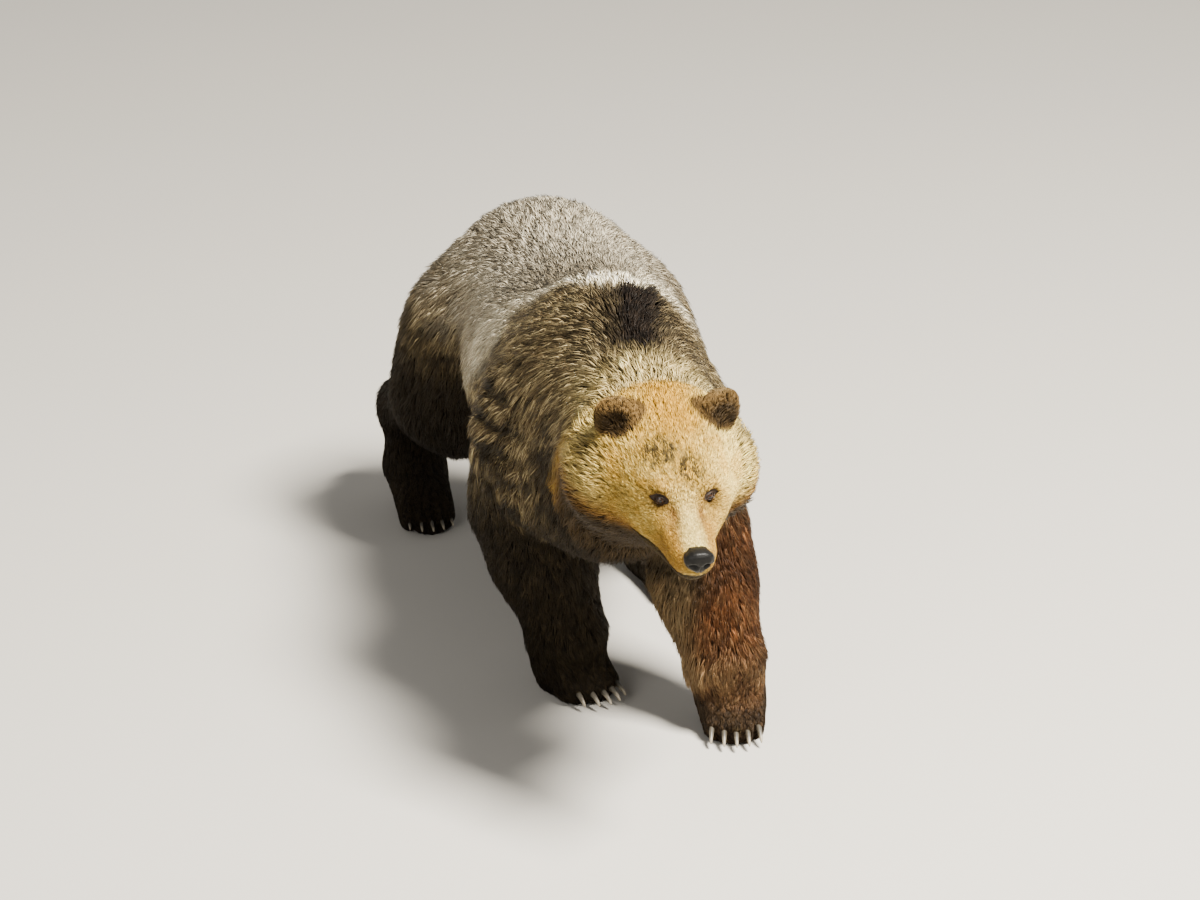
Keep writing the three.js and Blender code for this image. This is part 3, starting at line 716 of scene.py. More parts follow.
def refine(mesh, chosen):
    """Splits the faces whose middles are chosen into four."""
    work = bmesh.new()
    work.from_mesh(mesh)
    work.faces.ensure_lookup_table()
    middles = np.array([face.calc_center_median() for face in work.faces])
    faces = [work.faces[index] for index in np.flatnonzero(chosen(middles))]
    edges = list({edge for face in faces for edge in face.edges})
    bmesh.ops.subdivide_edges(work, edges=edges, cuts=1, use_grid_fill=True)
    work.to_mesh(mesh)
    work.free()


def is_head(points):
    """True on the head with its ruffs and ears."""
    across, ahead, up = to_head(points).T
    within = (ahead > -0.075) & (ahead < 0.33) & (up > -0.16) & (up < 0.19)
    return within & (np.abs(across) < 0.21)


def is_face(points):
    """True on the muzzle and round the eyes."""
    ahead, up = to_head(points).T[1:]
    return is_head(points) & (ahead > 0.13) & (up < 0.08)


def nearest_of(points, centres):
    """Distance from each point to the nearest of some centres."""
    return np.min([np.linalg.norm(points - centre, axis=1) for centre in centres], axis=0)


def is_eye_rim(points):
    """True close round the eyes."""
    return nearest_of(points, EYES.values()) < 0.036


def is_toe(points):
    """True close round the roots of the claws."""
    return nearest_of(points, CLAW_ROOTS.values()) < 0.034


# Forms of the face, in the head's own directions, on both sides: centre, sizes and how far the skin
# swells (or sinks, below zero).
FACE_FORMS = {
    "brow": ((0.042, 0.136, 0.062), (0.020, 0.018, 0.011), 0.0055),
    "eye hollow": ((0.046, 0.158, 0.034), (0.017, 0.018, 0.014), -0.0035),
    "tear groove": ((0.025, 0.176, 0.026), (0.008, 0.024, 0.012), -0.0040),
    "cheekbone": ((0.078, 0.105, 0.006), (0.020, 0.028, 0.018), 0.003),
    "temple": ((0.088, 0.080, 0.062), (0.018, 0.030, 0.018), -0.003),
    "furrow": ((0.0, 0.118, 0.095), (0.009, 0.034, 0.036), -0.0040),
    "whisker pad": ((0.030, 0.245, -0.014), (0.014, 0.026, 0.014), 0.003),
    "bridge edge": ((0.015, 0.215, 0.032), (0.006, 0.045, 0.008), 0.0015),
    "bridge side": ((0.028, 0.205, 0.020), (0.009, 0.035, 0.010), -0.0030),
    "chin": ((0.0, 0.252, -0.066), (0.020, 0.016, 0.010), 0.002),
}
MOUTH_DEPTH = 0.0042
MOUTH_WIDTH = 0.0024


def mouth_height(ahead):
    """Height of the mouth's line at a distance ahead in the head."""
    return -0.052 + 0.055 * (ahead - 0.105)


def mouth_line(places):
    """1 on the mouth's line, 0 away from it, in the head's own directions."""
    ahead, up = places.T[1:]
    return stripe(up - mouth_height(ahead), MOUTH_WIDTH) * ease(ahead, 0.112, 0.135)


def shape_face(points, normals):
    """Moves the skin of the head into its folds and swellings."""
    places = to_head(points)
    folded = folded_over(places)
    swell = np.zeros(len(points))
    for centre, sizes, amount in FACE_FORMS.values():
        swell += amount * lobe(folded, centre, sizes)
    swell -= MOUTH_DEPTH * mouth_line(places)
    return points + normals * swell[:, None]


class EyeAxes:
    """An eye's middle and its own directions: to the outer corner, up, and out of the face."""

    def __init__(self, side, face):
        sign = SIDES[side]
        low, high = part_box("eye_" + side)
        self.centre = EYES[side]
        self.radius = (high - low).x / 2
        self.out = unit(0.81 * HEAD_AHEAD + 0.49 * sign * HEAD_LEFT + 0.31 * HEAD_UP)
        corner = unit(sign * HEAD_LEFT - self.out * np.dot(sign * HEAD_LEFT, self.out))
        rise = np.cross(self.out, corner) * sign
        corner_up = corner * math.cos(face.tilt) + rise * math.sin(face.tilt)
        rise_in = rise * math.cos(face.tilt) - corner * math.sin(face.tilt)
        self.axes = np.array([corner_up, rise_in, self.out])
        self.gaze = unit(self.out * 0.62 + HEAD_AHEAD * 0.38)

    def seen(self, points):
        """Places as (to the outer corner, up, out) from the eye's middle."""
        return (points - self.centre) @ self.axes.T

    def place(self, seen):
        """The world places of points given in the eye's own directions."""
        return seen @ self.axes + self.centre


def opening_share(seen, face):
    """1 on the edge of the almond between the lids, less inside it and more outside."""
    wide = seen[:, 0] / (face.opening_width / 2)
    half = np.where(seen[:, 1] > 0.0, 0.56, 0.44) * face.opening_height
    tall = np.abs(seen[:, 1]) / half
    return (tall + np.sqrt(tall**2 + 4.0 * wide**2)) / 2.0


def opening_edge(bearing, face):
    """Where the edge of the almond stands in a direction from the eye's middle."""
    way = np.array([[math.cos(bearing), math.sin(bearing)]])
    return (way / opening_share(way, face))[0]


# How far out the lids spread, as shares of the opening, and the skin's depth under their outer face
LID_SPREAD = (1.05, 1.9)
LID_BED = 0.0016


def lid_height(seen, share, radius, face):
    """How far out the lids' surface stands: on the eyeball at the opening, on the face round it."""
    edge = seen[:, :2] / np.maximum(share, 1e-6)[:, None]
    over = radius + face.lid
    on_ball = np.sqrt(np.maximum(over**2 - (edge**2).sum(axis=1), (0.45 * over) ** 2))
    return on_ball + (seen[:, 2] - on_ball) * ease(share, *LID_SPREAD)


def open_eyes(points, face):
    """Sinks the skin under the lids round each eye."""
    for side in EYES:
        eye = EyeAxes(side, face)
        seen = eye.seen(points)
        near = (np.linalg.norm(seen[:, :2], axis=1) < 0.034) & (seen[:, 2] > -0.004)
        local = seen[near]
        share = opening_share(local, face)
        under_lid = lid_height(local, share, eye.radius, face) - LID_BED
        sunk = np.minimum(local[:, 2], np.where(share < 1.0, 0.004, under_lid))
        fade = ease(-share, -2.1, -1.75)
        local[:, 2] = local[:, 2] * (1.0 - fade) + sunk * fade
        points[near] = eye.place(local)
    return points


def claw_root(node):
    """The middle of the thick end of a claw, which is its highest quarter."""
    places = places_of(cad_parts[node].data)
    low, high = places[:, 2].min(), places[:, 2].max()
    return places[places[:, 2] > high - 0.25 * (high - low)].mean(axis=0)


CLAW_ROOTS = {node: claw_root(node) for claws in CLAWS.values() for node in claws}


class Paw:
    """A paw's own directions: ahead along the sole, across it, and where its toes' claws grow."""

    def __init__(self, leg):
        self.claws = [middle(node) for node in CLAWS[leg]]
        self.roots = [CLAW_ROOTS[node] for node in CLAWS[leg]]
        across = self.claws[-1] - self.claws[0]
        self.across = unit(across * np.array([1.0, 1.0, 0.0]))
        ahead = np.cross(self.across, (0.0, 0.0, 1.0))
        self.longest = self.claws[2]
        toward = self.longest - middle(leg + "_paw")
        self.ahead = ahead if np.dot(ahead, toward) > 0 else -ahead
        self.low, self.high = np.array(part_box(leg + "_paw"))

    def holds(self, points, margin):
        """True for the points in the paw's box with a margin round it."""
        return ((points > self.low - margin) & (points < self.high + margin)).all(axis=1)


# The toes: how far and how widely each swells round its claw's root, the height and length of the
# knuckle behind it, and the groove between it and the next
TOE_BULGE = 0.013
TOE_SIZE = 0.0085
KNUCKLE_BACK = 0.034
KNUCKLE_UP = 0.010
KNUCKLE_SWELL = 0.0055
KNUCKLE_LONG = 0.020
KNUCKLE_WIDE = 0.0075
KNUCKLE_HIGH = 0.03
GROOVE_BESIDE = 0.0105
GROOVE_WIDE = 0.004


def shape_toes(points, normals, kinds):
    """Swells the toes above each claw and sinks the skin between them."""
    for leg in LEGS:
        paw = Paw(leg)
        mine = share_of(kinds, "paw") * paw.holds(points, 0.02)
        for toe, claw, root in zip(TOES, paw.claws, paw.roots):
            bulge = TOE_BULGE * lobe(points, root - paw.ahead * 0.004, TOE_SIZE * np.ones(3))
            points += (0.5 * normals + 0.5 * paw.ahead) * (bulge * mine)[:, None]
            from_knuckle = points - (claw - paw.ahead * KNUCKLE_BACK + np.array([0.0, 0.0, KNUCKLE_UP]))
            beside = from_knuckle @ paw.across
            along = stripe(from_knuckle @ paw.ahead, KNUCKLE_LONG) * stripe(from_knuckle[:, 2], KNUCKLE_HIGH)
            swell = stripe(beside, KNUCKLE_WIDE)
            if toe < TOES[-1]:
                swell = swell - stripe(beside - GROOVE_BESIDE, GROOVE_WIDE)
            points += normals * (KNUCKLE_SWELL * along * swell * mine)[:, None]
    return points


def ruff_share(places, side, up, ahead):
    """1 on the cheeks and under the jaw, each from its own start to its end, 0 on the face."""
    cheek = ease(np.abs(places[:, 0]), *side) * ease(-places[:, 1], *ahead)
    jaw = ease(-places[:, 2], *up) * ease(-places[:, 1], -0.14, -0.02)
    return held(cheek + jaw)


def head_hair(places, coat):
    """Length of the hair over the head."""
    ahead = places[:, 1]
    hair = coat.muzzle + (coat.face - coat.muzzle) * ease(-ahead, -0.20, -0.10)
    hair = hair + 0.010 * ease(-ahead, -0.10, 0.02)
    ruff = ruff_share(places, (0.075, 0.135), (0.02, 0.08), (-0.11, -0.02))
    return hair + (coat.ruff - coat.face) * ruff


def head_depth(places):
    """Depth of the coat over the head."""
    depth = 0.0022 + 0.0045 * ease(-places[:, 1], -0.19, -0.06)
    return depth + 0.010 * ruff_share(places, (0.08, 0.14), (0.03, 0.09), (-0.10, 0.0))


def coat_depth(points, normals, kinds):
    """Depth of the coat at each vertex: none under the feet."""
    depth = by_kind(kinds, "depth")
    depth += share_of(kinds, "head") * (head_depth(to_head(points)) - HIDES["head"]["depth"])
    sole = ease(-points[:, 2], -0.02, -0.008) * ease(-normals[:, 2], 0.3, 0.7)
    return depth * (1.0 - sole)


def coat_length(points, normals, kinds, coat):
    """Length of the hair at each vertex, with a fringe under the belly and behind the forelegs."""
    from_claws = nearest_of(points, [Paw(leg).longest for leg in LEGS])
    lengths = {
        "head": head_hair(to_head(points), coat),
        "ear": coat.face * 1.1,
        "neck": coat.body * 0.95,
        "trunk": coat.body,
        "tail": coat.body * 0.9,
        "upper": coat.body * 0.92,
        "lower": coat.leg,
        "paw": coat.foot + (0.75 * coat.leg - coat.foot) * ease(from_claws, 0.05, 0.14),
    }
    hair = sum(share_of(kinds, kind) * lengths[kind] for kind in KINDS)
    x, y = points.T[:2]
    belly = ease(-normals[:, 2], 0.2, 0.8) * share_of(kinds, "trunk")
    behind = ease(normals[:, 1], 0.2, 0.8) * share_of(kinds, "lower")
    inner = ease(-normals[:, 0], 0.3, 0.9) * share_of(kinds, "lower") * ease(x, 0.0, 0.03)
    inner = inner * ease(-y, 0.06, 0.16)
    return hair + coat.fringe * held(0.8 * belly + 0.6 * behind + 0.9 * inner)


def body_lie(normals):
    """Back along the body, down the flanks, and down and aside on the breast."""
    aside = np.abs(normals[:, 0])
    below = np.maximum(-normals[:, 2], 0.0)
    front = np.maximum(-normals[:, 1], 0.0)
    lie = np.zeros((len(normals), 3))
    lie[:, 0] = 0.35 * np.sign(normals[:, 0]) * front
    lie[:, 1] = 1.0 - 0.45 * aside - 0.75 * front
    lie[:, 2] = -0.95 * aside - 0.9 * front - 0.1
    return lie + below[:, None] * np.array([0.0, 0.9, 0.0])


def paw_lie(points):
    """Down the back of each paw, then ahead over its toes."""
    lie = np.tile(np.array([0.0, -0.8, -0.5]), (len(points), 1))
    for leg in LEGS:
        paw = Paw(leg)
        downward = np.array([0.0, 0.0, -1.0]) + paw.ahead * 0.25
        ahead = paw.ahead * 0.9 + np.array([0.0, 0.0, -0.45])
        toes = ease((points - paw.longest) @ paw.ahead, -0.10, -0.02)
        mine = paw.holds(points, 0.03)
        lie[mine] = mixed(downward, ahead, toes)[mine]
    return lie


def head_lie(points):
    """Away from a place just ahead of the nose, down on the cheeks, and out from each eye."""
    lie = unit(points - from_head((0.0, 0.325, -0.015)))
    places = to_head(points)
    cheek = ease(np.abs(places[:, 0]), 0.07, 0.14) * ease(-places[:, 1], -0.12, 0.0)
    lie += np.outer(cheek, -0.45 * HEAD_UP)
    for eye in EYES.values():
        away = points - eye
        near = stripe(np.linalg.norm(away, axis=1), 0.02)
        lie += 1.5 * unit(away) * near[:, None]
    return lie


def ear_lie(points):
    """Out from the foot of each ear."""
    lie = np.zeros((len(points), 3))
    for side, sign in SIDES.items():
        foot = middle("ear_" + side) - 0.045 * HEAD_UP - 0.018 * sign * HEAD_LEFT
        mine = (points - BRAIN) @ (sign * HEAD_LEFT) > 0
        lie[mine] = unit(points - foot)[mine]
    return lie


def along_skin(vectors, normals):
    """Vectors laid flat on the skin and made one long."""
    return unit(vectors - normals * (vectors * normals).sum(axis=1, keepdims=True))


def coat_lie(points, normals, kinds, edges):
    """The direction that the hair lies in along the skin."""
    body = body_lie(normals)
    limb = np.array([0.0, 0.22, -1.0])
    flows = {
        "head": head_lie(points),
        "ear": ear_lie(points),
        "neck": body,
        "trunk": body,
        "tail": np.array([0.0, 0.35, -1.0]),
        "upper": limb,
        "lower": limb,
        "paw": paw_lie(points),
    }
    flow = sum(flows[kind] * share_of(kinds, kind)[:, None] for kind in KINDS)
    return along_skin(spread(along_skin(flow, normals), edges, 6, 0.5), normals)


def bare_share(points, normals, face):
    """1 where the skin is bare leather: lids, lips, round the nose, and under the feet."""
    places = to_head(points)
    bare = held(1.6 * mouth_line(places))
    from_nose = (places - NOSE - np.array([0.0, 0.0, -0.001])) / np.array([0.030, 0.019, 0.0245])
    bare = np.maximum(bare, ease(-np.linalg.norm(from_nose, axis=1), -1.16, -1.0))
    for side in EYES:
        seen = EyeAxes(side, face).seen(points)
        rim = ease(-opening_share(seen, face), -1.75, -1.45)
        bare = np.maximum(bare, rim * (np.linalg.norm(seen, axis=1) < 0.03))
    sole = ease(-points[:, 2], -0.016, -0.006) * ease(-normals[:, 2], 0.1, 0.5)
    return np.maximum(bare, sole)


def above_floor(points):
    """Points with those below the floor brought up to it."""
    points[:, 2] = np.maximum(points[:, 2], 0.0)
    return points


def smooth_flesh(sizes):
    """The closed flesh, smoothed by kind of hide, with finer faces on the head and the toes."""
    mesh = closed_flesh(sizes)
    keep_largest(mesh)
    points = places_of(mesh)
    edges = edges_of(mesh)
    kinds = nearest_kinds(points, edges)
    put_places(mesh, above_floor(spread(points, edges, sizes.rounds, 0.5 * by_kind(kinds, "smooth"))))
    for kind in KINDS:
        keep(mesh, "hide_" + kind, share_of(kinds, kind))
    for chosen in (is_head, is_face, is_eye_rim, is_toe):
        refine(mesh, chosen)
    return mesh


def make_skin(sizes, coat, face, paint):
    """The whole skin, with what the coat needs to know stored at its vertices."""
    mesh = smooth_flesh(sizes)
    edges = edges_of(mesh)
    points = places_of(mesh)
    points = spread(points, edges, 4, 0.5 * is_head(points))
    put_places(mesh, points)
    normals = normals_of(mesh)
    kinds = kinds_kept(mesh)
    kinds /= kinds.sum(axis=1, keepdims=True)

    depth = coat_depth(points, normals, kinds)
    points = spread(points - normals * depth[:, None], edges, 2, 0.35)
    points -= normals * (FOLD_DEPTH * shoulder_folds(points))[:, None]
    points = shape_face(points, normals)
    points = shape_toes(points, normals, kinds)
    points = above_floor(open_eyes(points, face))
    put_places(mesh, points)
    normals = normals_of(mesh)

    keep(mesh, "hair", coat_length(points, normals, kinds, coat))
    keep(mesh, "nap", depth)
    keep(mesh, "lie", coat_lie(points, normals, kinds, edges))
    bare = bare_share(points, normals, face)
    pelt = pelt_at(points, 0.5 + 0.5 * mottle(points, 0.006, 7), paint)
    # The skin takes mostly the roots' colour: partly dark underfur and partly painted shade under the coat
    pigment = mixed(mixed(pelt.root, pelt.tip, 0.12), paint.leather, bare)
    keep(mesh, "pigment", np.column_stack([pigment, np.ones(len(points))]))
    keep(mesh, "bare", bare)
    return mesh


# ---- Coat ----------------------------------------------------------------------------------------

# How far along a lock its root, its widest place and its tip are
LOCK_STEPS = (0.0, 0.42, 1.0)
# A lock's corners: the step along it, the place across it and the height, both in half widths
LOCK_THICKNESS = 0.42
LOCK_CORNERS = (
    (0, 0.0, 0.0),
    (1, -1.0, 0.0),
    (1, 1.0, 0.0),
    (1, 0.0, 2.0 * LOCK_THICKNESS),
    (2, 0.0, 0.0),
)
LOCK_FACES = ((0, 1, 2), (0, 2, 3), (0, 3, 1), (1, 4, 2), (2, 4, 3), (3, 4, 1))
# How deep a lock is rooted, how far its tip droops as a share of its length, the least height of
# its corners over the floor, and the size of its patch on the map
ROOT_SINK = 0.0015
DROOP = 0.05
OFF_FLOOR = 0.0006
BAKE_PATCH = 0.003
MOST_TRIANGLES = 200000
# How far the locks' streaks are set apart by their shades and their rolls
SHADES_APART = 137.0
ROLLS_APART = 31.0

# The pieces of the coat, each with the name of a slot, which is passed along but not read
ZONES = {
    "Muzzle": "head_coat",
    "Brow": "head_coat",
    "Poll": "head_coat",
    "Cheek_Left": "head_coat",
    "Cheek_Right": "head_coat",
    "Ears": "ear_coat",
    "Neck_Left": "body_coat",
    "Neck_Right": "body_coat",
    "Shoulder_Left": "body_coat",
    "Shoulder_Right": "body_coat",
    "Flank_Left": "body_coat",
    "Flank_Right": "body_coat",
    "Rump_Left": "body_coat",
    "Rump_Right": "body_coat",
    "Foreleg_Left": "leg_coat",
    "Foreleg_Right": "leg_coat",
    "Hindleg_Left": "leg_coat",
    "Hindleg_Right": "leg_coat",
    "Forefeet": "leg_coat",
    "Hindfeet": "leg_coat",
}
ZONE_NUMBERS = {zone: number for number, zone in enumerate(ZONES)}


class Hide:
    """The skin as triangles, with what is stored at its vertices, for rooting locks in it."""

    def __init__(self, mesh):
        mesh.calc_loop_triangles()
        corners = np.empty(len(mesh.loop_triangles) * 3, np.int32)
        mesh.loop_triangles.foreach_get("vertices", corners)
        self.corners = corners.reshape(-1, 3)
        self.points = places_of(mesh)
        self.normals = normals_of(mesh)
        self.lie = kept(mesh, "lie")
        self.hair = kept(mesh, "hair")
        self.nap = kept(mesh, "nap")
        self.furred = ease(-kept(mesh, "bare"), -0.5, -0.15)
        self.kinds = kinds_kept(mesh)
        first, second, third = (self.points[self.corners[:, index]] for index in range(3))
        self.areas = np.linalg.norm(np.cross(second - first, third - first), axis=1) / 2
        self.tree = BVHTree.FromPolygons(self.points.tolist(), self.corners.tolist())

    def expected(self, density):
        """How many locks each triangle is to have, for so many to the square metre."""
        return self.areas * density[self.corners].mean(axis=1)

    def scattered(self, density, rng):
        """Chance places in the triangles, so many to the square metre at the vertices."""
        expected = self.expected(density)
        counts = np.floor(expected + rng.random(len(expected))).astype(int)
        triangles = np.repeat(np.arange(len(expected)), counts)
        shares = rng.random((len(triangles), 2))
        over = shares.sum(axis=1) > 1.0
        shares[over] = 1.0 - shares[over]
        return triangles, np.column_stack([1.0 - shares.sum(axis=1), shares])

    def at(self, values, triangles, shares):
        """Values at the vertices taken to places in the triangles."""
        if values.ndim == 2:
            shares = shares[..., None]
        return (values[self.corners[triangles]] * shares).sum(axis=1)

    def under(self, places):
        """The nearest place on the skin to each, and its normal."""
        found = [self.tree.find_nearest(place) for place in places.tolist()]
        nearest = np.array([hit[0] for hit in found])
        normals = self.normals[self.corners[[hit[2] for hit in found]]].mean(axis=1)
        return nearest, unit(normals)


def lock_width(hair):
    """Width of a lock for the length of its hair."""
    return 0.0008 + 0.034 * hair


def clump_spacing(hair):
    """Distance between neighbouring clumps for the length of their hair."""
    return 0.0035 + 0.15 * hair


class Locks:
    """The roots, sizes and middle lines of a number of locks."""

    def __init__(self, hide, triangles, shares):
        self.triangles = triangles
        self.shares = shares
        self.count = len(triangles)
        self.root = hide.at(hide.points, triangles, shares)
        self.normal = unit(hide.at(hide.normals, triangles, shares))
        self.lie = unit(hide.at(hide.lie, triangles, shares))
        self.hair = hide.at(hide.hair, triangles, shares)
        self.nap = hide.at(hide.nap, triangles, shares)
        self.kinds = hide.at(hide.kinds, triangles, shares)
        self.lines = np.zeros((self.count, len(LOCK_STEPS), 3))

    def turn(self, angles):
        """Turns the lie of each lock about its root's normal."""
        beside = np.cross(self.normal, self.lie)
        self.lie = self.lie * np.cos(angles)[:, None] + beside * np.sin(angles)[:, None]

    def lay(self, hide):
        """Lays each lock's middle line out of the skin and then along it."""
        self.lines[:, 0] = self.root - self.normal * ROOT_SINK
        base = self.root
        lie = self.lie
        normal = self.normal
        done = 0.0
        for index, along in list(enumerate(LOCK_STEPS))[1:]:
            high = self.nap * (2.0 * along - along * along)
            free = base + lie * (self.hair * (along - done))[:, None] + normal * (0.5 * high)[:, None]
            base, normal = hide.under(free)
            laid = base + normal * high[:, None]
            straight = self.root + self.lie * (self.hair * along)[:, None]
            straight = straight + self.normal * high[:, None]
            self.lines[:, index] = 0.72 * laid + 0.28 * straight
            self.lines[:, index, 2] -= DROOP * self.hair * along * along
            lie = along_skin(lie, normal)
            done = along

    def run_together(self, clumps, owner, pull):
        """Draws the locks of a clump towards the clump's own line, most at the tips."""
        for index, along in enumerate(LOCK_STEPS):
            gap = clumps.lines[owner, index] - self.lines[:, index]
            self.lines[:, index] += gap * (pull * along**1.4)[:, None]


def on_side(part, left):
    """The number of a part's left or right piece."""
    return np.where(left, ZONE_NUMBERS[part + "_Left"], ZONE_NUMBERS[part + "_Right"])


def head_zone(points):
    """The number of the coat piece for a place on the head."""
    across, ahead, up = to_head(points).T
    zone = np.where(ahead > 0.155, ZONE_NUMBERS["Muzzle"], on_side("Cheek", across > 0.0))
    brow = (ahead > 0.03) & (ahead <= 0.155) & (up > 0.0) & (np.abs(across) < 0.10)
    poll = (ahead <= 0.03) & (up > 0.055) & (np.abs(across) < 0.12)
    return np.where(brow, ZONE_NUMBERS["Brow"], np.where(poll, ZONE_NUMBERS["Poll"], zone))


def zone_of(points, kinds):
    """The number of the coat piece that a lock belongs to."""
    kind = np.array(KINDS)[kinds.argmax(axis=1)]
    x, y = points.T[:2]
    left = x > 0.012
    fore = y < 0.1
    behind_shoulder = np.where(y < 0.33, on_side("Flank", left), on_side("Rump", left))
    zone = np.where(y < -0.03, on_side("Shoulder", left), behind_shoulder)
    zone = np.where(kind == "neck", on_side("Neck", left), zone)
    leg = np.where(fore, on_side("Foreleg", left), on_side("Hindleg", left))
    zone = np.where(np.isin(kind, ("upper", "lower")), leg, zone)
    foot = np.where(fore, ZONE_NUMBERS["Forefeet"], ZONE_NUMBERS["Hindfeet"])
    zone = np.where(kind == "paw", foot, zone)
    zone = np.where(kind == "head", head_zone(points), zone)
    return np.where(kind == "ear", ZONE_NUMBERS["Ears"], zone)


def unwrapped(hide, triangles):
    """UV places of the corners of some of the skin's triangles, on an unwrap of their own."""
    used, corners = np.unique(hide.corners[triangles], return_inverse=True)
    mesh = bpy.data.meshes.new("unwrap")
    mesh.from_pydata(hide.points[used].tolist(), [], corners.reshape(-1, 3).tolist())
    mesh.uv_layers.new(name="Unwrap")
    patch = bpy.data.objects.new("unwrap", mesh)
    bpy.context.scene.collection.objects.link(patch)
    bpy.ops.object.select_all(action="DESELECT")
    bpy.context.view_layer.objects.active = patch
    patch.select_set(True)
    bpy.ops.object.mode_set(mode="EDIT")
    bpy.ops.mesh.select_all(action="SELECT")
    bpy.ops.uv.smart_project(angle_limit=math.radians(66), island_margin=0.004)
    bpy.ops.object.mode_set(mode="OBJECT")
    values = np.empty(len(mesh.loops) * 2, np.float32)
    mesh.uv_layers["Unwrap"].uv.foreach_get("vector", values)
    bpy.data.objects.remove(patch)
    bpy.data.meshes.remove(mesh)
    return values.reshape(-1, 3, 2).astype(float)


def root_maps(hide, locks, chosen):
    """UV places of the chosen locks' roots, on an unwrap of the skin under them."""
    own, numbers = np.unique(locks.triangles[chosen], return_inverse=True)
    corners = unwrapped(hide, own)[numbers]
    return (corners * locks.shares[chosen][..., None]).sum(axis=1)


def closed_locks(name, places):
    """One mesh of closed three-sided spindles, from the corners of each."""
    count, size = places.shape[:2]
    loops = (np.array(LOCK_FACES).ravel()[None] + size * np.arange(count)[:, None]).ravel()
    starts = 3 * np.arange(len(LOCK_FACES) * count)
    mesh = bpy.data.meshes.new(name)
    mesh.vertices.add(count * size)
    mesh.loops.add(len(loops))
    mesh.polygons.add(len(starts))
    mesh.vertices.foreach_set("co", places.astype(np.float32).ravel())
    mesh.loops.foreach_set("vertex_index", loops.astype(np.int32))
    mesh.polygons.foreach_set("loop_start", starts.astype(np.int32))
    mesh.update(calc_edges=True)
    return mesh, loops


def lock_mesh(name, locks, chosen, pelt, uv):
    """One mesh of the chosen locks, each bent along its middle line, with its colours and its map."""
    lines = locks.lines[chosen]
    rolls = locks.rolls[chosen]
    shades = locks.shades[chosen]
    way = unit(lines[:, 2] - lines[:, 0])
    flat = unit(np.cross(locks.normal[chosen], way))
    over = np.cross(way, flat)
    cos, sin = np.cos(rolls)[:, None], np.sin(rolls)[:, None]
    flat, over = flat * cos + over * sin, over * cos - flat * sin
    half = 0.5 * locks.widths[chosen][:, None]

    shape = (len(chosen), len(LOCK_CORNERS))
    places = np.zeros(shape + (3,))
    colours = np.ones(shape + (4,))
    strands = np.zeros(shape + (3,))
    maps = np.zeros(shape + (2,))
    for at, (step, beside, high) in enumerate(LOCK_CORNERS):
        along = LOCK_STEPS[step]
        tone = mixed(pelt.root[chosen], pelt.tip[chosen], ease(along, 0.0, 0.95))
        places[:, at] = lines[:, step] + flat * half * beside + over * half * high
        colours[:, at, :3] = tone * shades[:, None]
        strands[:, at] = np.column_stack(
            [SHADES_APART * shades + beside, np.full(shape[0], along), ROLLS_APART * rolls]
        )
        maps[:, at] = uv + np.array([0.5 * beside, along - 0.5]) * BAKE_PATCH
    places[..., 2] = np.maximum(places[..., 2], OFF_FLOOR)

    mesh, loops = closed_locks(name, places)
    keep(mesh, "pigment", held(colours).reshape(-1, 4))
    keep(mesh, "strand", strands.reshape(-1, 3))
    layer = mesh.uv_layers.new(name="OFBake")
    layer.uv.foreach_set("vector", maps.reshape(-1, 2)[loops].astype(np.float32).ravel())
    return mesh


def lock_density(hide, wanted):
    """Locks to the square metre at the skin's vertices, in all as many as are wanted."""
    on_muzzle = share_of(hide.kinds, "head") * ease(to_head(hide.points)[:, 1], 0.13, 0.20)
    cover = by_kind(hide.kinds, "cover") * (1.0 - 0.55 * on_muzzle)
    density = cover * hide.furred / (0.5 * hide.hair * lock_width(hide.hair))
    return density * wanted / hide.expected(density).sum()


def nearest_clumps(clumps, locks):
    """For each lock, the number of the clump nearest to its root, and how far off that is."""
    finder = KDTree(clumps.count)
    for index, place in enumerate(clumps.root.tolist()):
        finder.insert(place, index)
    finder.balance()
    found = [finder.find(place)[1:] for place in locks.root.tolist()]
    return np.array([index for index, _ in found]), np.array([distance for _, distance in found])


